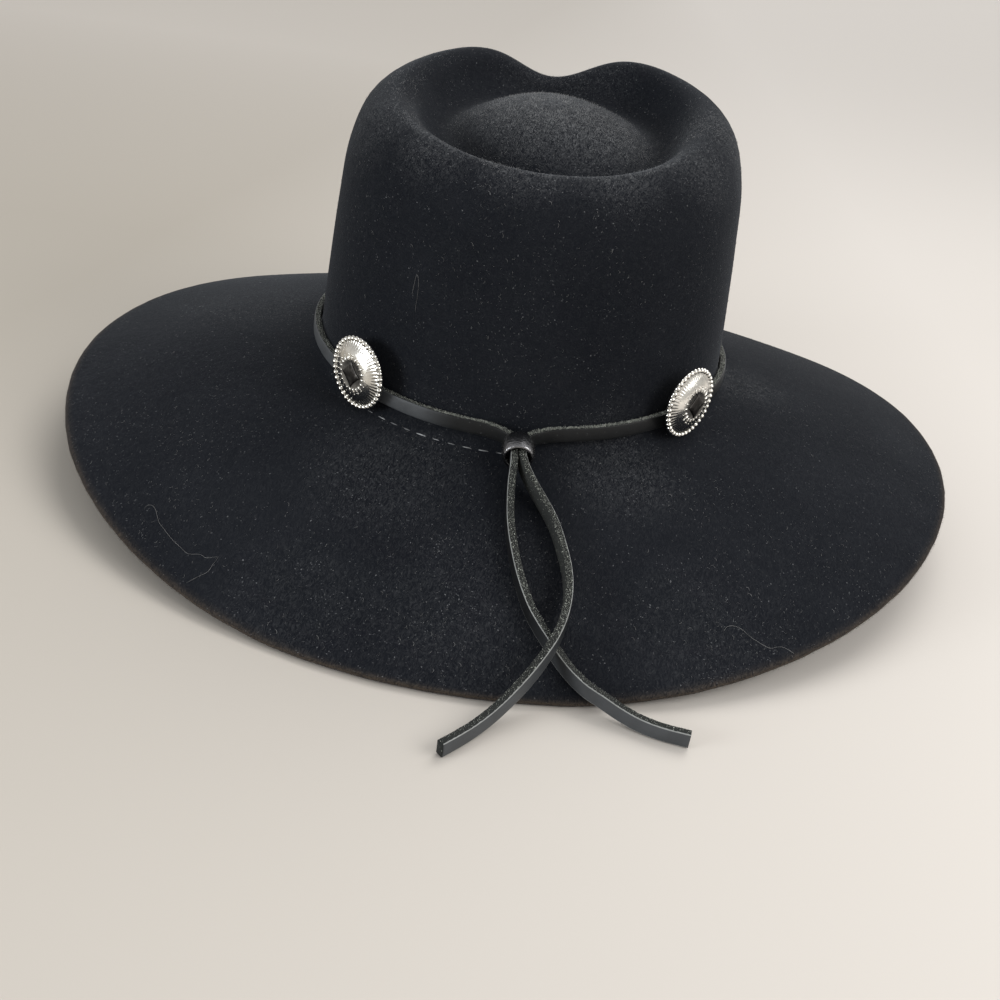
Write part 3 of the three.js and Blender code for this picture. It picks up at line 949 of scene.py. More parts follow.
class InstanceTree:
    """A Geometry Nodes tree that sets small pieces and leaves one real mesh."""

    def __init__(self, name: str, inputs: dict[str, tuple[str, object]]) -> None:
        """Makes the tree with its geometry sockets and named inputs.

        Args:
            name: The tree's name.
            inputs: The socket kind and default of each named input.
        """
        self.tree = bpy.data.node_groups.new(name, "GeometryNodeTree")
        sockets = self.tree.interface
        sockets.new_socket(name="Geometry", in_out="INPUT", socket_type="NodeSocketGeometry")
        sockets.new_socket(name="Geometry", in_out="OUTPUT", socket_type="NodeSocketGeometry")
        for key, (kind, default) in inputs.items():
            socket = sockets.new_socket(name=key, in_out="INPUT", socket_type=kind)
            if default is not None:
                socket.default_value = default
        self.nodes = NodeBuilder(self.tree)
        entry = self.nodes.add("NodeGroupInput")
        self.given = {socket.name: socket for socket in entry.outputs if socket.name}

    def close(self, points: object, piece: object, facing: object, size: object) -> None:
        """Sets the pieces on the points and ends the tree in real faces with a material.

        Args:
            points: The socket that gives the points.
            piece: The socket that gives the piece.
            facing: The socket that gives each piece's rotation.
            size: The socket that gives each piece's scale.
        """
        inputs = {"Points": points, "Instance": piece, "Rotation": facing, "Scale": size}
        placed = self.nodes.add("GeometryNodeInstanceOnPoints", inputs)
        real = self.nodes.add("GeometryNodeRealizeInstances", {0: placed.outputs[0]})
        smooth = self.nodes.add("GeometryNodeSetShadeSmooth", {0: real.outputs[0]})
        dressed = self.nodes.add(
            "GeometryNodeSetMaterial", {"Geometry": smooth.outputs[0], "Material": self.given["Material"]}
        )
        self.nodes.add("NodeGroupOutput", {0: dressed.outputs[0]})

    def bake(self, thing: bpy.types.Object, values: dict[str, object]) -> bpy.types.Object:
        """Runs the tree on an object and keeps the result as a plain mesh.

        Args:
            thing: The object that gives the path or the faces.
            values: Values for the named inputs.

        Returns:
            The same object, with its new mesh.
        """
        modifier = thing.modifiers.new("pieces", "NODES")
        modifier.node_group = self.tree
        for item in self.tree.interface.items_tree:
            if item.in_out == "INPUT" and item.name in values:
                modifier[item.identifier] = values[item.name]
        graph = bpy.context.evaluated_depsgraph_get()
        mesh = bpy.data.meshes.new_from_object(thing.evaluated_get(graph), depsgraph=graph)
        thing.modifiers.remove(modifier)
        thing.data = mesh
        return thing


def path_tree() -> InstanceTree:
    """The tree that sets rounded pieces at even steps along a closed path."""
    made = InstanceTree(
        "pieces_along_path",
        {
            "Count": ("NodeSocketInt", 40),
            "Size": ("NodeSocketVector", None),
            "Sides": ("NodeSocketInt", 8),
            "Unevenness": ("NodeSocketFloat", 0.0),
            "Seed": ("NodeSocketInt", SEED),
            "Material": ("NodeSocketMaterial", None),
        },
    )
    nodes, given = made.nodes, made.given
    curve = nodes.add("GeometryNodeMeshToCurve", {0: given["Geometry"]})
    stepped = nodes.add("GeometryNodeResampleCurve", {"Curve": curve.outputs[0], "Count": given["Count"]})
    stepped.mode = "COUNT"
    outward = nodes.add("GeometryNodeInputNamedAttribute", {"Name": "outward"}, data_type="FLOAT_VECTOR")
    tangent = nodes.add("GeometryNodeInputTangent")
    turned = nodes.add("FunctionNodeAlignRotationToVector", {"Vector": tangent.outputs[0]}, axis="X")
    lifted = nodes.add(
        "FunctionNodeAlignRotationToVector",
        {"Rotation": turned.outputs[0], "Vector": outward.outputs[0]},
        axis="Z",
        pivot_axis="X",
    )
    rings = nodes.math("MULTIPLY", given["Sides"], 0.75)
    piece = nodes.add(
        "GeometryNodeMeshUVSphere", {"Segments": given["Sides"], "Rings": rings, "Radius": 1.0}
    )
    low = nodes.math("SUBTRACT", 1.0, given["Unevenness"])
    high = nodes.math("ADD", 1.0, given["Unevenness"])
    change = nodes.random(low, high, given["Seed"])
    size = nodes.add("ShaderNodeVectorMath", {0: given["Size"], "Scale": change}, operation="SCALE")
    made.close(stepped.outputs[0], piece.outputs[0], lifted.outputs[0], size.outputs[0])
    return made


def fibre_tree() -> InstanceTree:
    """The tree that scatters bent fibres over faces, lying or standing."""
    made = InstanceTree(
        "fibres_on_faces",
        {
            "Density": ("NodeSocketFloat", 1000.0),
            "Bend Radius": ("NodeSocketFloat", 0.001),
            "Sweep": ("NodeSocketFloat", 1.5),
            "Thickness": ("NodeSocketFloat", 0.00003),
            "Joints": ("NodeSocketInt", 4),
            "Stand": ("NodeSocketFloat", 0.0),
            "Scatter": ("NodeSocketFloat", 0.2),
            "Smallest": ("NodeSocketFloat", 0.4),
            "Largest": ("NodeSocketFloat", 1.4),
            "Seed": ("NodeSocketInt", SEED),
            "Material": ("NodeSocketMaterial", None),
        },
    )
    nodes, given = made.nodes, made.given
    chance = nodes.add("GeometryNodeInputNamedAttribute", {"Name": "chance"}, data_type="FLOAT")
    density = nodes.math("MULTIPLY", given["Density"], chance.outputs[0])
    points = nodes.add(
        "GeometryNodeDistributePointsOnFaces",
        {"Mesh": given["Geometry"], "Density": density, "Seed": given["Seed"]},
        distribute_method="RANDOM",
    )
    arc = nodes.add(
        "GeometryNodeCurveArc",
        {"Resolution": given["Joints"], "Radius": given["Bend Radius"], "Sweep Angle": given["Sweep"]},
    )
    shift = nodes.add("ShaderNodeCombineXYZ", {0: nodes.math("MULTIPLY", given["Bend Radius"], -1.0)})
    rooted = nodes.add("GeometryNodeTransform", {0: arc.outputs[0], "Translation": shift.outputs[0]})
    section = nodes.add("GeometryNodeCurvePrimitiveCircle", {"Resolution": 3, "Radius": given["Thickness"]})
    fibre = nodes.add(
        "GeometryNodeCurveToMesh", {0: rooted.outputs[0], 1: section.outputs[0], "Fill Caps": True}
    )
    spin = nodes.random(0.0, 2 * math.pi, given["Seed"])
    tilt = nodes.random(nodes.math("MULTIPLY", given["Scatter"], -1.0), given["Scatter"], given["Seed"])
    about = nodes.add("ShaderNodeCombineXYZ", {2: spin})
    risen = nodes.add("ShaderNodeCombineXYZ", {0: nodes.math("ADD", given["Stand"], tilt)})
    facing = points.outputs["Rotation"]
    for turn in (about, risen):
        inputs = {0: facing, 1: turn.outputs[0]}
        facing = nodes.add("FunctionNodeRotateRotation", inputs, rotation_space="LOCAL").outputs[0]
    size = nodes.random(given["Smallest"], given["Largest"], given["Seed"])
    made.close(points.outputs[0], fibre.outputs[0], facing, size)
    return made


@dataclass(frozen=True)
class FibreKind:
    """One kind of fibre that the scattering tree lays: how many, how bent, how thick and how it stands."""

    density: float
    bend_radius: float
    sweep: float
    thickness: float
    joints: int
    stand: float
    scatter: float
    smallest: float
    largest: float
    seed: int

    def inputs(self, material: bpy.types.Material) -> dict[str, object]:
        """The tree's inputs by name."""
        named = {key.replace("_", " ").title(): value for key, value in asdict(self).items()}
        return {**named, "Material": material}


LINT = FibreKind(40000.0, 0.0005, 1.9, 0.000022, 4, 0.0, 0.35, 0.3, 1.8, 3)
DUST = FibreKind(200000.0, 0.0004, 1.1, 0.000025, 2, 0.0, 0.4, 0.4, 1.6, 5)
RIM_NAP = FibreKind(1300000.0, 0.0007, 0.8, 0.000022, 2, 0.9, 0.7, 0.5, 1.3, 11)
DOME_NAP = replace(RIM_NAP, seed=13)
EDGE_FUZZ = FibreKind(2600000.0, 0.0007, 0.9, 0.000018, 3, math.pi / 2, 0.9, 0.4, 1.5, 9)
LACE_FUZZ = FibreKind(8500000.0, 0.0005, 0.9, 0.000035, 2, 1.1, 0.8, 0.4, 1.2, 17)


def mount(thing: bpy.types.Object, slot: str, *nodes: str) -> None:
    """Rides a finished piece on the hat and hides the CAD nodes that it replaces.

    Args:
        thing: The piece.
        slot: The name of a material slot; not used.
        *nodes: The CAD nodes that it replaces.
    """
    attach(thing, BODY)
    if nodes:
        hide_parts(*nodes)
    log.info("%s: %d faces", thing.name, len(thing.data.polygons))


@dataclass
class LaceStrip:
    """The leather lace's own shape: a rounded strip with rough cut edges."""

    width: float = 0.005
    thickness: float = 0.0026
    grain_round: float = 0.00025
    flesh_round: float = 0.00035
    crown: float = 0.00012
    roughness: float = 0.00007
    corner: LaceFace = LaceFace.BURNISHED

    def outline(self) -> tuple[np.ndarray, np.ndarray]:
        """The section, from the grain side round to it again.

        Returns:
            Pairs of distance to the grain side and up, and the slot of the strip after each pair.
        """
        x, y = self.thickness / 2, self.width / 2
        g, f = self.grain_round, self.flesh_round
        points, faces = [], []
        for share in np.linspace(-1, 1, 6):
            points.append((x + self.crown * (1 - share**2), share * (y - g)))
            faces.append(LaceFace.GRAIN)
        faces[-1] = self.corner
        for turn in np.radians([30, 60]):
            points.append((x - g + g * math.cos(turn), y - g + g * math.sin(turn)))
            faces.append(self.corner)
        for share in np.linspace(0, 1, 5):
            points.append((x - g + share * (g + f - 2 * x), y))
            faces.append(LaceFace.CUT)
        for share in np.linspace(1, -1, 6):
            points.append((-x, share * (y - f)))
            faces.append(LaceFace.FLESH)
        for share in np.linspace(1, 0, 5):
            points.append((x - g + share * (g + f - 2 * x), -y))
            faces.append(LaceFace.CUT)
        faces[-1] = self.corner
        for turn in np.radians([-60, -30]):
            points.append((x - g + g * math.cos(turn), g - y + g * math.sin(turn)))
            faces.append(self.corner)
        return np.array(points), np.array([face.value for face in faces])

    def sweep(
        self, name: str, sections: list[LaceSection], seed: int, wear: np.ndarray
    ) -> bpy.types.Object:
        """Makes the strip through its sections.

        Args:
            name: The new object's name.
            sections: The places along it.
            seed: The seed of its roughness.
            wear: How worn and pale its edges are, and how dark the painted shade on its grain side, at each
                place.

        Returns:
            The new object.
        """
        random = np.random.default_rng(seed)
        outline, slots = self.outline()
        rough = np.isin(slots, (LaceFace.CUT.value, LaceFace.FLESH.value)) * self.roughness
        rings = []
        for section in sections:
            shifted = outline + rough[:, None] * random.uniform(-1, 1, outline.shape)
            rings.append(section.middle + shifted[:, :1] * section.across + shifted[:, 1:] * section.up)
        thing = ring_mesh(name, [sections[0].middle[None], *rings, sections[-1].middle[None]], slots=slots)
        face_outwards(thing)
        add_share(thing, "wear", np.concatenate([wear[:1], np.repeat(wear, len(outline)), wear[-1:]]))
        for material in LACE_MATERIALS:
            thing.data.materials.append(material)
        return thing


LACE_MATERIALS: list[bpy.types.Material] = []


def face_outwards(thing: bpy.types.Object) -> None:
    """Turns a closed mesh the right way out, if it is inside out."""
    mesh = thing.data
    mesh.calc_loop_triangles()
    count = len(mesh.vertices)
    places = np.empty(3 * count)
    mesh.vertices.foreach_get("co", places)
    places = places.reshape(-1, 3)
    corners = np.empty(3 * len(mesh.loop_triangles), np.int32)
    mesh.loop_triangles.foreach_get("vertices", corners)
    a, b, c = (places[corners.reshape(-1, 3)[:, i]] for i in range(3))
    if np.einsum("ij,ij->i", a, np.cross(b, c)).sum() < 0:
        mesh.flip_normals()
        mesh.update()


@dataclass
class Tails:
    """The lace's two free ends, which lie down the brim and hang past its edge."""

    tie: Tie
    strip: LaceStrip
    step: float = 0.0006
    # Distances down the tails from the bead: edges fully worn and grain side darkest as painted shade up to
    # the second, none past the first.
    wear_and_shade_run: tuple[float, float] = (0.105, 0.065)
    routes: dict[str, tuple] = field(
        default_factory=lambda: {
            "tail_left": (
                (-0.01127, 0.1083, 0.0427), (-0.01195, 0.1129, 0.0416), (-0.0125, 0.1170, 0.0393),
                (-0.0129, 0.1220, 0.0364), (-0.0136, 0.1275, 0.0336), (-0.0154, 0.1374, 0.0299),
                (-0.0181, 0.1466, 0.0263), (-0.0224, 0.1572, 0.0217), (-0.0271, 0.1656, 0.0177),
                (-0.0308, 0.1702, 0.0153), (-0.0342, 0.1737, 0.0134), (-0.0384, 0.1780, 0.0109),
                (-0.0430, 0.1817, 0.0086), (-0.0480, 0.1848, 0.0068), (-0.0530, 0.1870, 0.0057),
                (-0.0585, 0.1890, 0.0042), (-0.0645, 0.1910, 0.0031), (-0.0710, 0.1926, 0.0028),
                (-0.0797, 0.1936, 0.0028),
            ),
            "tail_right": (
                (-0.01415, 0.1079, 0.0427), (-0.01482, 0.1124, 0.0416), (-0.0165, 0.1160, 0.0397),
                (-0.0198, 0.1207, 0.0370), (-0.0236, 0.1253, 0.0344), (-0.0273, 0.1302, 0.0321),
                (-0.0306, 0.1358, 0.0298), (-0.0339, 0.1434, 0.0269), (-0.0364, 0.1506, 0.0244),
                (-0.0378, 0.1582, 0.0226), (-0.0381, 0.1663, 0.0209), (-0.0374, 0.1736, 0.0190),
                (-0.0358, 0.1796, 0.0167), (-0.0334, 0.1846, 0.0138), (-0.0303, 0.1894, 0.0103),
                (-0.0266, 0.1944, 0.0070), (-0.0224, 0.2000, 0.0043), (-0.0184, 0.2054, 0.0030),
                (-0.0144, 0.2109, 0.0028), (-0.0099, 0.2165, 0.0028),
            ),
        }
    )

    def sections(self, route: np.ndarray, hand: Hand) -> list[LaceSection]:
        """The sections of one tail, which stands on its edge with its grain side out.

        Args:
            route: Points at even distances along it.
            hand: The side of the bead that it leaves.

        Returns:
            One section for each point.
        """
        tangents = unit(np.gradient(route, axis=0))
        ups = unit(Z_UP - tangents * tangents[:, 2:])
        outs = np.cross(tangents, ups) * hand.value
        return [LaceSection(*row) for row in zip(route, outs, ups)]

    def build(self) -> list[tuple[list[LaceSection], np.ndarray]]:
        laces = []
        for seed, (hand, (name, route)) in enumerate(zip(Hand, self.routes.items())):
            points = along_length(np.array(route), self.step)
            sections = self.sections(points, hand)
            wear = fair(np.arange(len(points)) * self.step, *self.wear_and_shade_run)
            piece = self.strip.sweep(f"{name}_lace", sections, seed, wear)
            laces.append((sections, wear))
            mount(piece, "lace", name)
            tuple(route[0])
        return laces


@dataclass(frozen=True)
class DustAndSheenPatch:
    """A patch of the felt that is made paler: dusty on the brim, dusty with a painted sheen on the crown's
    top.
    """

    place: tuple[float, float, float]
    reach: float
    strength: float


DUST_AND_SHEEN_PATCHES = (
    # The first eight patches lie on the crown's top and crest: dust, with a painted sheen and painted
    # highlight where the overhead light grazes the nap. The rest lie on the brim and are dust.
    DustAndSheenPatch((-0.006, 0.008, 0.143), 0.056, 0.96),
    DustAndSheenPatch((0.055, 0.045, 0.140), 0.034, 0.34),
    DustAndSheenPatch((0.030, 0.072, 0.139), 0.026, 0.50),
    DustAndSheenPatch((0.000, 0.076, 0.137), 0.026, 0.58),
    DustAndSheenPatch((-0.028, 0.068, 0.138), 0.028, 0.58),
    DustAndSheenPatch((-0.056, 0.042, 0.141), 0.030, 0.42),
    DustAndSheenPatch((-0.065, 0.005, 0.143), 0.034, 0.42),
    DustAndSheenPatch((0.000, -0.070, 0.156), 0.050, 0.25),
    DustAndSheenPatch((0.129, -0.012, 0.035), 0.050, 0.20),
    DustAndSheenPatch((0.030, 0.120, 0.035), 0.040, 0.22),
    DustAndSheenPatch((0.044, 0.173, 0.010), 0.035, 0.12),
    DustAndSheenPatch((-0.009, 0.165, 0.014), 0.050, 0.14),
    DustAndSheenPatch((-0.049, 0.098, 0.036), 0.032, 0.32),
    DustAndSheenPatch((-0.096, 0.003, 0.040), 0.030, 0.30),
    DustAndSheenPatch((-0.082, 0.159, 0.013), 0.040, 0.10),
)


def dust_and_sheen_at(places: np.ndarray) -> np.ndarray:
    """How pale the felt is made at each place, by dusty patches and a painted sheen on the crown's top.

    Args:
        places: Points on the felt, one row each.

    Returns:
        A number from 0 to 1 for each point.
    """
    dust = np.zeros(len(places))
    for patch in DUST_AND_SHEEN_PATCHES:
        away = np.linalg.norm(places - np.array(patch.place), axis=1)
        dust = np.maximum(dust, patch.strength * fair(away, patch.reach, 0.2 * patch.reach))
    return dust


@dataclass
class FeltBody:
    """The brim and crown, one skin of felt with a raw edge."""

    block: HatBlock
    sectors: int = 288
    ring_step: float = 0.0026
    edge_rings: int = 5
    edge_bulge: float = 0.00045
    edge_fray: float = 0.00022
    edge_tone: float = 0.0022
    # The rim fields set a painted highlight along the crown's rim: where it lies, how wide, how strong, and
    # over which run of y.
    rim_station: float = 16.9
    rim_reach: float = 0.75
    rim_highlight: float = 0.9
    rim_run: tuple[float, float] = (0.02, 0.06)

    def stations(self) -> np.ndarray:
        """Stations at nearly even distances, with one at each row of the block."""
        side = np.array([math.pi / 2])
        kept = []
        for row in range(self.block.last):
            ends = self.block.block(np.array([row, row + 1.0]), side)[0]
            steps = max(2, math.ceil(np.linalg.norm(ends[1] - ends[0]) / self.ring_step))
            kept.extend(row + np.arange(steps) / steps)
        return np.array(kept)

    def edge_shift(self, angles: np.ndarray) -> np.ndarray:
        """How far the raw edge stands out or in at each angle."""
        random = np.random.default_rng(SEED)
        total = np.zeros_like(angles)
        for waves in (9, 14, 23, 37, 61, 88, 117):
            total += random.uniform(0.3, 1) * np.sin(waves * angles + random.uniform(0, 2 * math.pi))
        return total / 3 * self.edge_fray

    def build(self) -> bpy.types.Object:
        """Builds the felt from the top's middle down to the edge and back up inside."""
        felt = self.block.felt
        angles = whole_turn(self.sectors)
        stations = self.stations()
        outside = self.block.surface(stations, angles)
        inside = self.block.surface(stations, angles, felt)
        outside[..., 2] = np.maximum(outside[..., 2], felt)
        away = -self.block.frames(np.array([0.0]), angles)[0][:, 0]
        away[:, 2] *= 0.5
        fray = self.edge_shift(angles)[:, None] * away
        outside[:, 0] += fray
        inside[:, 0] += fray
        inside[..., 2] = np.maximum(inside[..., 2], 0)
        rounded = []
        for i in range(1, self.edge_rings + 1):
            share = i / (self.edge_rings + 1)
            ring = outside[:, 0] * (1 - share) + inside[:, 0] * share
            ring += away * self.edge_bulge * math.sin(math.pi * share)
            ring[:, 2] = np.maximum(ring[:, 2], 0)
            rounded.append(ring)
        tips = [self.block.point(self.block.last, 0.0, depth)[None] for depth in (0.0, felt)]
        down = [outside[:, i] for i in range(len(stations) - 1, -1, -1)]
        back = [inside[:, i] for i in range(len(stations))]
        body = ring_mesh("felt_body", [tips[0], *down, *rounded, *back, tips[1]])
        self.store_shares(body, stations)
        body.data.materials.append(FeltFinish().make())
        mount(body, "felt", "hat_body")
        return body

    def store_shares(self, body: bpy.types.Object, stations: np.ndarray) -> None:
        """Stores how near each point is to the raw edge, and how pale each point is made by dusty patches, a
        painted sheen and a painted highlight along the near rim.

        Args:
            body: The felt.
            stations: The stations of its rings.
        """
        width = self.block.brim_width
        shares = np.interp(stations, np.arange(len(self.block.brim_rows)), self.block.brim_rows)
        near = 1 - fair((1 - shares) * width, 0, self.edge_tone)
        near[stations > self.block.wall_start - 1] = 0
        ring_values = [*near[::-1] * 0.6, *[1.0] * self.edge_rings, *near * 0.6]
        values = np.concatenate([[0.0], np.repeat(ring_values, self.sectors), [0.0]])
        add_share(body, "edge", values)
        places = np.empty(3 * len(body.data.vertices))
        body.data.vertices.foreach_get("co", places)
        places = places.reshape(-1, 3)
        # A painted highlight along the crown's rim on the side towards the camera, where the nap catches the
        # light.
        rim = self.rim_highlight * (1 - fair(np.abs(stations - self.rim_station), 0, self.rim_reach))
        painted_rim_highlight = np.repeat([*rim[::-1], *[0.0] * (self.edge_rings + len(stations))], self.sectors)
        painted_rim_highlight = np.concatenate([[0.0], painted_rim_highlight, [0.0]]) * fair(places[:, 1], *self.rim_run)
        add_share(body, "dust", np.maximum(dust_and_sheen_at(places), painted_rim_highlight))


@dataclass
class Sweatband:
    """The leather inside the crown's foot, with its edge turned out under the brim."""

    block: HatBlock
    felt_gap: float = 0.0005
    thickness: float = 0.0012
    height: float = 0.038
    flange: float = 0.0075
    sectors: int = 224
    rings: int = 26

    def build(self) -> None:
        """Builds the band."""
        angles = whole_turn(self.sectors)
        ends = (self.block.station_out(self.flange), self.block.station_up(self.height))
        stations = np.linspace(*ends, self.rings)
        near = self.block.surface(stations, angles, self.block.felt + self.felt_gap)
        far = self.block.surface(stations, angles, self.block.felt + self.felt_gap + self.thickness)
        rings = [*np.moveaxis(near, 1, 0)[::-1], *np.moveaxis(far, 1, 0)]
        band = ring_mesh("sweatband_leather", rings, loop=True)
        face_outwards(band)
        finish = LeatherFinish(
            "sweat_leather", (0.035, 0.024, 0.016, 1), (0.05, 0.035, 0.025, 1), (0.35, 0.5), 0.1, 900.0,
            900.0, 0.0001,
        )
        band.data.materials.append(finish.make())
        mount(band, "band_leather", "sweatband")


@dataclass
class HatBand:
    """The lace round the crown's foot, with both ends turned into the bead."""

    tie: Tie
    strip: LaceStrip
    step: float = 0.0009
    corner_steps: int = 28
    # Where the band's edges are most worn and its grain side darkest as painted shade, in degrees from the
    # bead: on the left and on the right.
    left_wear: tuple[float, float] = (26.0, 14.0)
    right_wear: tuple[float, float] = (80.0, 60.0)

    def wear(self, turns: np.ndarray) -> np.ndarray:
        """How worn the wall's lace is, and how dark the painted shade on its grain side, most near the bead
        and on the right.
        """
        away = np.degrees(turns)
        # This holds both how worn the lace is and how dark its painted shade.
        worn = np.maximum(fair(away, *self.left_wear), fair(360 - away, *self.right_wear))
        return np.concatenate([np.ones(self.corner_steps + 2), worn, np.ones(self.corner_steps + 2)])

    def build(self) -> tuple[list[LaceSection], np.ndarray]:
        """Builds the band and gives its sections and wear."""
        block = self.tie.block
        reach = self.tie.turn_reach * 2 / block.crown_width
        count = round(math.pi * (block.crown_width + block.crown_length) / 2 / self.step)
        clear = reach + 2 * math.pi / count
        turns = np.linspace(clear, 2 * math.pi - clear, count)
        sections = [
            *reversed(self.tie.turn_sections(Hand.LEFT, self.corner_steps)),
            *(self.tie.wall_section(block.tie_angle + turn) for turn in turns),
            *self.tie.turn_sections(Hand.RIGHT, self.corner_steps),
        ]
        wear = self.wear(turns)
        mount(self.strip.sweep("hat_band_lace", sections, SEED, wear), "lace", "hat_band")
        return sections, wear


@dataclass
class CutFuzz:
    """The short fibres that stand out of the lace's cut upper edge."""

    strip: LaceStrip
    fibres: InstanceTree
    inset: float = 0.0003
    shares: tuple[float, float, float] = (0.75, 0.75, 2.4)

    def patch(
        self, name: str, sections: list[LaceSection], wear: np.ndarray, share: float
    ) -> bpy.types.Object:
        """The cut edge's own face, for fibres to stand on.

        Args:
            name: The patch's name.
            sections: The places along the lace.
            wear: How worn its edge is at each place, which also sets the painted shade of the grain side.
            share: The share of the fibres that it bears.

        Returns:
            The patch, with the chance of a fibre at each point.
        """
        reach = self.strip.thickness / 2 - self.inset
        tops = np.array([section.middle + section.up * self.strip.width / 2 for section in sections])
        across = np.array([section.across for section in sections])
        points = np.stack([tops - reach * across, tops + reach * across], axis=1)
        order = (0, 1, 3, 2)
        if np.cross(points[0, 1] - points[0, 0], points[1, 0] - points[0, 0]) @ sections[0].up < 0:
            order = order[::-1]
        faces = [tuple(2 * i + corner for corner in order) for i in range(len(sections) - 1)]
        mesh = bpy.data.meshes.new(name)
        mesh.from_pydata(points.reshape(-1, 3).tolist(), [], faces)
        thing = in_scene(name, mesh)
        add_share(thing, "chance", np.repeat((0.4 + 0.6 * wear) * share, 2))
        return thing

    def build(self, laces: list[tuple[list[LaceSection], np.ndarray]]) -> None:
        """Scatters the fibres.

        Args:
            laces: The sections of each lace, with how worn it is and how dark its painted shade at each.
        """
        rows = enumerate(zip(laces, self.shares))
        patches = [self.patch(f"fuzz_{index}", *lace, share) for index, (lace, share) in rows]
        fuzz = ThreadFinish("lace_fuzz", (0.62, 0.65, 0.58, 1), (0.010, 0.013, 0.011, 1), 0.8, 1300.0)
        piece = self.fibres.bake(join(patches, "cut_fuzz"), LACE_FUZZ.inputs(fuzz.make()))
        mount(piece, "lace")


@dataclass
class Bead:
    """The metal barrel that holds both ends of the lace."""

    tie: Tie
    bore: float = 0.0082
    lip: float = 0.0008
    sides: int = 72
    lip_round: float = 0.00035

    def build(self) -> None:
        """Builds the bead."""
        outer, end, bore = self.tie.bead_diameter / 2, self.tie.bead_length / 2, self.bore / 2
        lip = bore + self.lip
        profile = [(bore, -end * 0.8), (bore + self.lip_round, -end), (lip - self.lip_round / 2, -end)]
        for turn in np.radians(np.linspace(-78, 78, 21)):
            bulge = lip + (outer - lip) * math.cos(turn) ** 0.8
            profile.append((bulge, end * 0.98 * math.sin(turn) / math.sin(math.radians(78))))
        profile += [(lip - self.lip_round / 2, end), (bore + self.lip_round, end), (bore, end * 0.8)]
        rings = lathe_rings(profile, self.sides, self.tie.centre, self.tie.axis)
        bead = ring_mesh("bead_barrel", rings, loop=True)
        face_outwards(bead)
        add_share(bead, "tarnish", np.zeros(len(bead.data.vertices)))
        finish = MetalFinish(
            "black_nickel", (0.25, 0.25, 0.26, 1), (0.05, 0.05, 0.05, 1), 0.24, 0.45, 1300.0, 0.00035
        )
        bead.data.materials.append(finish.make())
        mount(bead, "black_nickel", "bead")


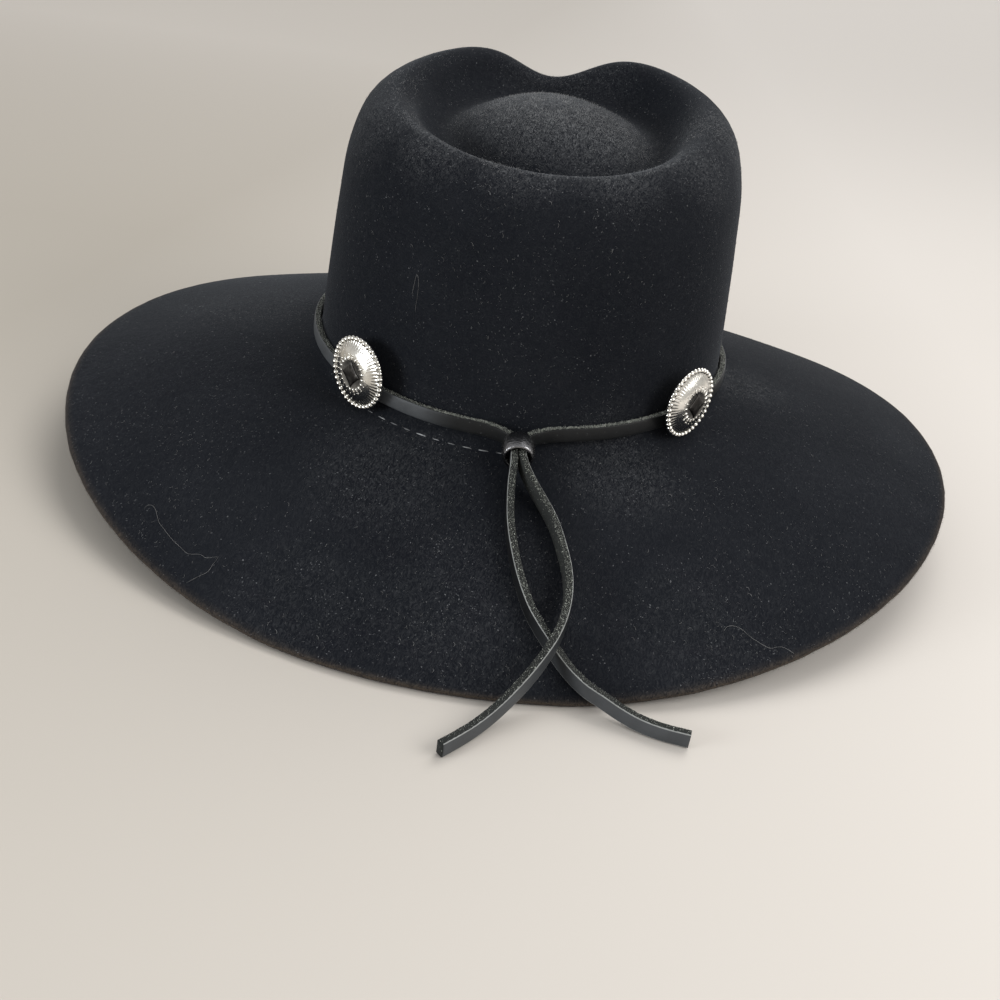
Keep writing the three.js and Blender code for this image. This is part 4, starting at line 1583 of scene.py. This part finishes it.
@dataclass
class Concho:
    """A domed silver disc with a berry border, a ring of flutes and petals round a dark middle."""

    name: str
    away: float
    tie: Tie
    silver: bpy.types.Material
    path_pieces: InstanceTree
    diameter: float = 0.0278
    rise: float = 0.0046
    lean: float = 1.0
    boss: float = 0.013
    standoff: float = 0.0026
    flutes: int = 56
    flute_sides: int = 8
    flute_depth: float = 0.00013
    berries: int = 38
    berry: float = 0.0011
    petals: int = 20
    diamond: float = 0.0052
    diamond_sides: int = 48
    diamond_power: float = 0.85
    diamond_tarnish: float = 0.93
    groove_tarnish: float = 0.5

    def place(self) -> tuple[np.ndarray, np.ndarray]:
        """Where the concho stands: the middle of its back, and the way that it faces."""
        block, tie = self.tie.block, self.tie
        angle = math.radians(block.dress_turn + self.away)
        section = tie.wall_section(angle)
        lean = math.radians(self.lean)
        level = unit(section.across * np.array([1, 1, 0]))
        face = level * math.cos(lean) + Z_UP * math.sin(lean)
        rise = Z_UP * math.cos(lean) - level * math.sin(lean)
        clear = tie.lace_thickness / 2 + tie.felt_gap + self.standoff
        seat = section.middle + section.up * tie.lace_width / 2 + section.across * clear
        foot = block.point(
            block.station_out(tie.felt_gap + tie.lace_thickness / 2 + clear), angle, -1.6 * tie.felt_gap
        )
        height = (foot[2] - seat[2]) / rise[2] + self.diameter / 2
        return seat + rise * height, face

    def profile(self) -> list[tuple[float, float, float, float]]:
        """Radius, height, tarnish and share of the flutes, from the middle of the front to the back."""
        radius = self.diameter / 2
        shares = [
            (0.0, 0.88, 0.7, 0), (0.18, 0.88, 0.7, 0), (0.35, 0.86, 0.7, 0), (0.38, 0.89, 0.45, 0),
            (0.46, 0.86, 0.35, 0), (0.50, 0.84, 0.05, 0), (0.54, 0.812, 0.0, 0), (0.59, 0.755, 0.0, 0),
            (0.63, 0.70, 0.0, 0), (0.68, 0.622, 0.0, 0), (0.71, 0.57, 0.0, 0.4), (0.75, 0.505, 0.0, 0.9),
            (0.80, 0.425, 0.0, 1), (0.85, 0.36, 0.0, 1), (0.885, 0.325, 0.1, 0.6), (0.905, 0.307, 0.4, 0),
            (0.925, 0.29, 0.6, 0), (0.95, 0.27, 0.2, 0), (0.965, 0.17, 0.1, 0), (0.965, 0.03, 0.2, 0),
        ]
        front = [(reach * radius, height * self.rise, *rest) for reach, height, *rest in shares]
        half = self.boss / 2
        back = [(0.93 * radius, 0.0), (half, 0.0), (half, -self.standoff), (0.0, -self.standoff)]
        return front + [(*row, 0.4, 0) for row in back]

    def ring_path(
        self, name: str, radius: float, height: float, slope: float, centre: np.ndarray, face: np.ndarray
    ) -> bpy.types.Object:
        """A circle on the disc, for pieces to stand on.

        Args:
            name: The path's name.
            radius: Its radius.
            height: Its height over the disc's back.
            slope: How many degrees the surface there leans outward.
            centre: The middle of the disc's back.
            face: The way that the disc faces.

        Returns:
            The path.
        """
        points = lathe_rings([(radius, height)], 4 * self.berries, centre, face)[0]
        out = unit(points - (centre + face * height))
        lean = math.radians(slope)
        return path_mesh(name, points, face * math.cos(lean) + out * math.sin(lean))

    def build(self) -> None:
        """Builds the disc and what stands on it."""
        centre, face = self.place()
        disc = self.build_disc(centre, face)
        radius = self.diameter / 2
        parts = [
            (self.berries, radius - self.berry, 0.22, 0, (self.berry, self.berry, self.berry), 12, 0.02),
            (self.petals, radius * 0.44, 0.86, 8, (0.00040, 0.00105, 0.00038), 8, 0.2),
            (self.petals, radius * 0.535, 0.82, 20, (0.00026, 0.00042, 0.00026), 6, 0.2),
        ]
        joined = [disc]
        for index, (count, reach, height, slope, size, sides, uneven) in enumerate(parts):
            name = f"{self.name}_ring_{index}"
            path = self.ring_path(name, reach, height * self.rise, slope, centre, face)
            values = {
                "Count": count, "Size": size, "Sides": sides, "Unevenness": uneven, "Seed": SEED + index,
                "Material": self.silver,
            }
            piece = self.path_pieces.bake(path, values)
            piece.data.attributes.new("tarnish", "FLOAT", "POINT")
            joined.append(piece)
        joined.append(self.build_diamond(centre, face))
        disc.data.materials.append(self.silver)
        whole = join(joined, f"{self.name}_silver")
        mount(whole, "silver", self.name)

    def build_disc(self, centre: np.ndarray, face: np.ndarray) -> bpy.types.Object:
        """The domed disc with its ring of shallow flutes.

        Args:
            centre: The middle of the disc's back.
            face: The way that the disc faces.

        Returns:
            The disc, with its tarnish.
        """
        profile = self.profile()
        sides = self.flutes * self.flute_sides
        rings = lathe_rings([row[:2] for row in profile], sides, centre, face)
        groove = (0.5 - 0.5 * np.cos(np.arange(sides) / self.flute_sides * 2 * math.pi)) ** 3
        tarnish = []
        for i, (ring, row) in enumerate(zip(rings, profile)):
            if row[3]:
                rings[i] = ring - face * (groove * row[3] * self.flute_depth)[:, None]
            dark = row[2] + self.groove_tarnish * row[3] * groove
            tarnish.append(dark if len(ring) > 1 else np.full(1, row[2]))
        disc = ring_mesh(f"{self.name}_disc", rings)
        face_outwards(disc)
        add_share(disc, "tarnish", np.concatenate(tarnish))
        return disc

    def build_diamond(self, centre: np.ndarray, face: np.ndarray) -> bpy.types.Object:
        """The dark four-pointed plate in the middle.

        Args:
            centre: The middle of the disc's back.
            face: The way that the disc faces.

        Returns:
            The plate, with its tarnish.
        """
        side = unit(np.cross(face, Z_UP))
        up = np.cross(side, face)
        turn, power = whole_turn(self.diamond_sides), self.diamond_power
        reach = 1 / (np.abs(np.cos(turn)) ** power + np.abs(np.sin(turn)) ** power) ** (1 / power)
        flat = np.cos(turn)[:, None] * side + np.sin(turn)[:, None] * up
        rings = []
        for share, height in ((1.0, 0.84), (0.98, 0.93), (0.86, 0.96), (0.5, 0.985)):
            rings.append(centre + face * self.rise * height + flat * (self.diamond * share * reach)[:, None])
        tip = (centre + face * self.rise * 0.99)[None]
        floor = (centre + face * self.rise * 0.80)[None]
        plate = ring_mesh(f"{self.name}_plate", [tip, *rings[::-1], floor])
        face_outwards(plate)
        add_share(plate, "tarnish", np.full(len(plate.data.vertices), self.diamond_tarnish))
        plate.data.materials.append(self.silver)
        return plate


def join(things: list[bpy.types.Object], name: str) -> bpy.types.Object:
    """Joins pieces of one material into the first.

    Args:
        things: The pieces.
        name: The name of the result.

    Returns:
        The joined piece.
    """
    bpy.ops.object.select_all(action="DESELECT")
    for thing in things:
        thing.select_set(True)
    bpy.context.view_layer.objects.active = things[0]
    bpy.ops.object.join()
    things[0].name = name
    things[0].data.name = name
    return things[0]


@dataclass
class Stitching:
    """The row of stitches that holds the sweatband, beside the crown's foot."""

    block: HatBlock
    path_pieces: InstanceTree
    distance: float = 0.0040
    pitch: float = 0.0060
    stitch: tuple[float, float, float] = (0.0018, 0.00023, 0.00016)
    lift: float = 0.00005
    sink: float = 0.00032
    clear_turn: float = 12.0
    corners: int = 400

    def build(self) -> None:
        """Builds the stitches."""
        angles = whole_turn(self.corners)
        station = np.array([self.block.station_out(self.distance)])
        outward = self.block.frames(station, angles)[1][:, 0]
        turn = (np.degrees(angles) - self.clear_turn + 180) % 360 - 180
        lift = self.lift - self.sink * fair(np.abs(turn), 15.0, 28.0) * (0.8 + 0.2 * np.sin(9 * angles))
        line = self.block.surface(station, angles)[:, 0] + lift[:, None] * outward
        path = path_mesh("sweatband_stitches", line, outward)
        length = np.linalg.norm(np.diff(line, axis=0, append=line[:1]), axis=1).sum()
        thread = ThreadFinish("thread", (0.32, 0.33, 0.34, 1), (0.10, 0.105, 0.11, 1), 0.5)
        values = {
            "Count": round(length / self.pitch), "Size": self.stitch, "Sides": 8, "Unevenness": 0.22,
            "Material": thread.make(),
        }
        mount(self.path_pieces.bake(path, values), "felt")


@dataclass
class LooseFibre:
    """Lint, dust and single hairs that lie on the felt, and the fuzz of the raw edge."""

    block: HatBlock
    fibres: InstanceTree
    skin_sectors: int = 120
    skin_rows: int = 100
    lowest: float = 0.004
    hair: float = 0.00005
    hair_step: float = 0.001
    hairs: tuple[tuple[tuple[float, float], ...], ...] = (
        (
            (2.74, 37.2), (2.86, 37.6), (3.02, 37.3), (3.03, 36.5), (2.94, 35.5), (2.82, 34.4),
            (2.79, 33.4), (2.71, 31.2), (2.70, 29.8), (2.69, 28.6), (2.92, 27.4), (2.94, 26.6),
            (3.14, 25.6), (2.90, 25.4), (2.60, 25.2), (2.29, 25.6), (1.50, 26.1),
        ),
        (
            (3.12, -30.4), (3.22, -31.0), (3.23, -31.6), (3.12, -32.4), (2.66, -33.2), (2.12, -34.4),
            (2.08, -35.0), (2.00, -35.6), (1.72, -36.0), (0.80, -36.5),
        ),
        ((9.1, 20.8), (8.9, 20.0), (8.95, 19.2), (8.80, 18.6), (8.85, 17.6)),
        ((12.6, 24.0), (12.9, 23.4), (12.8, 22.6), (12.4, 22.4)),
    )

    def skin(self, name: str, low: float, high: float, lift: float) -> bpy.types.Object:
        """A patch of faces just over the felt, for fibres to lie on.

        Args:
            name: The patch's name.
            low: Its first station.
            high: Its last station.
            lift: Its height over the felt.

        Returns:
            The patch, with the chance of a fibre at each point.
        """
        angles = whole_turn(self.skin_sectors)
        stations = np.linspace(high, low, self.skin_rows)
        points = self.block.surface(stations, angles, -lift)
        patch = ring_mesh(name, [points[:, i] for i in range(self.skin_rows)])
        flat = np.concatenate([points[:, i] for i in range(self.skin_rows)])
        clouds = np.sin(flat * 61 + 1.3).sum(1) + np.sin(flat[:, [1, 2, 0]] * 137 + 0.4).sum(1)
        dusty = 0.5 + 1.5 * dust_and_sheen_at(flat)
        add_share(patch, "chance", (0.1 + fair(clouds, -1.5, 2.5)) * dusty * (flat[:, 2] > self.lowest))
        return patch

    def scatter(
        self, patch: bpy.types.Object, kind: FibreKind, material: bpy.types.Material
    ) -> None:
        """Scatters one kind of fibre.

        Args:
            patch: The faces that it lies on, which give the new piece its name.
            kind: The fibre's measures.
            material: What it is made of.
        """
        mount(self.fibres.bake(patch, kind.inputs(material)), "felt")

    def build(self) -> None:
        """Builds every kind of loose fibre."""
        lint = ThreadFinish("lint", (0.22, 0.22, 0.217, 1), (0.06, 0.06, 0.06, 1)).make()
        wool = ThreadFinish("bare_wool", (0.12, 0.095, 0.072, 1), (0.03, 0.027, 0.025, 1)).make()
        # The standing nap on the rim and the dome is coloured pale grey as a painted highlight, for the black
        # nap catching the overhead light.
        nap = ThreadFinish("nap", (0.36, 0.365, 0.37, 1), (0.14, 0.143, 0.148, 1)).make()
        self.lay_hairs(lint)
        last = self.block.last - 0.3
        rows = (
            ("lint_fibres", 0.2, last, 0.0001, LINT, lint),
            ("dust_specks", 0.2, last, 0.00005, DUST, lint),
            ("rim_nap", 16.2, 18.2, 0.0, RIM_NAP, nap),
            ("dome_nap", 20.8, last, 0.0, DOME_NAP, nap),
        )
        for name, low, high, lift, kind, material in rows:
            self.scatter(self.skin(name, low, high, lift), kind, material)
        self.scatter(self.edge_strip(), EDGE_FUZZ, wool)

    def lay_hairs(self, material: bpy.types.Material) -> None:
        """Lays the few long hairs along their own lines.

        Args:
            material: What the hairs are made of.
        """
        hairs = []
        for index, line in enumerate(self.hairs):
            knots = np.array([self.block.point(s, math.radians(a), -2 * self.hair) for s, a in line])
            points = along_length(knots, self.hair_step)
            tangents = unit(np.gradient(points, axis=0))
            sides = unit(np.cross(tangents, Z_UP))
            others = np.cross(tangents, sides)
            rings = [points[:1]]
            turns = whole_turn(3)[:, None]
            for point, side, other in zip(points[1:-1], sides[1:-1], others[1:-1]):
                rings.append(point + self.hair * (np.cos(turns) * side + np.sin(turns) * other))
            rings.append(points[-1:])
            hair = ring_mesh(f"hair_{index}", rings)
            face_outwards(hair)
            hair.data.materials.append(material)
            hairs.append(hair)
        mount(join(hairs, "long_hairs"), "felt")

    def edge_strip(self) -> bpy.types.Object:
        """The raw edge's narrow face, for fuzz to stand on."""
        angles = whole_turn(4 * self.skin_sectors)
        edge = np.array([0.0])
        away = -self.block.frames(edge, angles)[0][:, 0]
        rings = []
        for depth in np.linspace(0.1, 0.9, 4) * self.block.felt:
            ring = self.block.surface(edge, angles, depth)[:, 0] + away * 0.0002
            ring[:, 2] = np.maximum(ring[:, 2], self.block.felt - depth)
            rings.append(ring)
        strip = ring_mesh("edge_fuzz", rings)
        add_share(strip, "chance", (np.concatenate(rings)[:, 2] > self.lowest).astype(float))
        return strip


@dataclass(frozen=True)
class AreaLight:
    """One soft light."""

    name: str
    place: tuple[float, float, float]
    aim: tuple[float, float, float]
    size: tuple[float, float]
    watts: float
    colour: tuple[float, float, float] = (1, 1, 1)

    def build(self) -> None:
        """Adds the light."""
        data = bpy.data.lights.new(self.name, "AREA")
        data.shape = "RECTANGLE"
        data.size, data.size_y = self.size
        data.energy = self.watts
        data.color = self.colour
        light = in_scene(self.name, data)
        light.location = self.place
        light.rotation_euler = (Vector(self.aim) - Vector(self.place)).to_track_quat("-Z", "Y").to_euler()


@dataclass
class Studio:
    """The camera at the photo's angle, the pale floor and the soft lights."""

    camera_place: tuple = (-0.033233, 0.420003, 0.200729)
    forward: tuple = (0.06804869, -0.86540392, -0.49643271)
    right: tuple = (-0.98278752, -0.1438042, 0.11597003)
    up: tuple = (0.17175002, -0.47999626, 0.86029386)
    lens: float = 36.0
    sensor: float = 36.0
    floor_reach: float = 40.0
    horizon: tuple = (0.62, 0.60, 0.57, 1)
    zenith: tuple = (0.55, 0.55, 0.55, 1)
    sun_place: tuple = (-0.22, -0.75, 0.9)
    sun_strength: float = 1.55
    sun_spread: float = 40.0

    def build_camera(self) -> None:
        """Adds the camera."""
        data = bpy.data.cameras.new("camera")
        data.lens, data.sensor_width = self.lens, self.sensor
        data.clip_start, data.clip_end = 0.01, 50
        camera = in_scene("camera", data)
        axes = [Vector(self.right), Vector(self.up), -Vector(self.forward)]
        turn = Matrix([tuple(axis) for axis in axes]).transposed()
        camera.matrix_world = Matrix.Translation(self.camera_place) @ turn.to_4x4()
        bpy.context.scene.camera = camera

    def build_floor(self) -> None:
        """Adds the floor."""
        reach = self.floor_reach
        mesh = bpy.data.meshes.new("floor")
        corners = [(-reach, -reach, 0), (reach, -reach, 0), (reach, reach, 0), (-reach, reach, 0)]
        mesh.from_pydata(corners, [], [(0, 1, 2, 3)])
        mesh.materials.append(PaperFinish().make())
        in_scene("floor", mesh)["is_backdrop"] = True

    def build_lights(self) -> None:
        """Adds the sky and the lights."""
        world = bpy.data.worlds.new("studio")
        world.use_nodes = True
        nodes = NodeBuilder(world.node_tree)
        height = nodes.add("ShaderNodeSeparateXYZ", {0: nodes.add("ShaderNodeTexCoord").outputs["Generated"]})
        sky = nodes.blend(nodes.grade(height.outputs[2], 0.0, 0.8, 0.0, 1.0), self.horizon, self.zenith)
        nodes.tree.links.new(sky, nodes.tree.nodes["Background"].inputs[0])
        bpy.context.scene.world = world
        bpy.context.scene.view_settings.view_transform = "Standard"
        lights = (
            AreaLight("window", (0.95, 0.75, 0.30), (0, 0, 0.06), (0.5, 0.4), 7.0, (0.93, 0.97, 1)),
            AreaLight("side", (-1.0, 0.35, 0.75), (0, 0, 0.08), (0.9, 0.7), 9.0, (1, 0.99, 0.97)),
        )
        for light in lights:
            light.build()
        data = bpy.data.lights.new("ceiling", "SUN")
        data.energy, data.angle = self.sun_strength, math.radians(self.sun_spread)
        data.color = (1, 0.985, 0.96)
        sun = in_scene("ceiling", data)
        sun.rotation_euler = (-Vector(self.sun_place)).to_track_quat("-Z", "Y").to_euler()


def write_sizes() -> None:
    """Gathers the corners of the CAD model's box and the visual model's box."""
    boxes = {"cad": CAD_BOX, "visual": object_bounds()}
    rows = {key: [list(corner) for corner in box] for key, box in boxes.items()}


def main() -> None:
    """Builds the scene, camera and cords first."""
    logging.basicConfig(level=logging.INFO, format="%(name)s %(message)s")
    studio = Studio()
    studio.build_camera()
    EFFECTS.build()
    LACE_MATERIALS.extend(lace_finishes())
    block = HatBlock()
    tie = Tie(block)
    strip = LaceStrip()
    laces = Tails(tie, strip).build()
    FeltBody(block).build()
    Sweatband(block).build()
    laces.append(HatBand(tie, LaceStrip(corner=LaceFace.GRAIN)).build())
    Bead(tie).build()
    silver = MetalFinish(
        "antique_silver", (0.80, 0.78, 0.73, 1), (0.045, 0.042, 0.04, 1), 0.17, 0.42, 900.0, 0.00012
    ).make()
    path_pieces = path_tree()
    for name, away in (("concho_left", 40.6), ("concho_right", -42.3)):
        Concho(name, away, tie, silver, path_pieces).build()
    Stitching(block, path_pieces).build()
    fibres = fibre_tree()
    CutFuzz(strip, fibres).build(laces)
    LooseFibre(block, fibres).build()
    studio.build_floor()
    studio.build_lights()
    write_sizes()


if __name__ == "__main__":
    main()
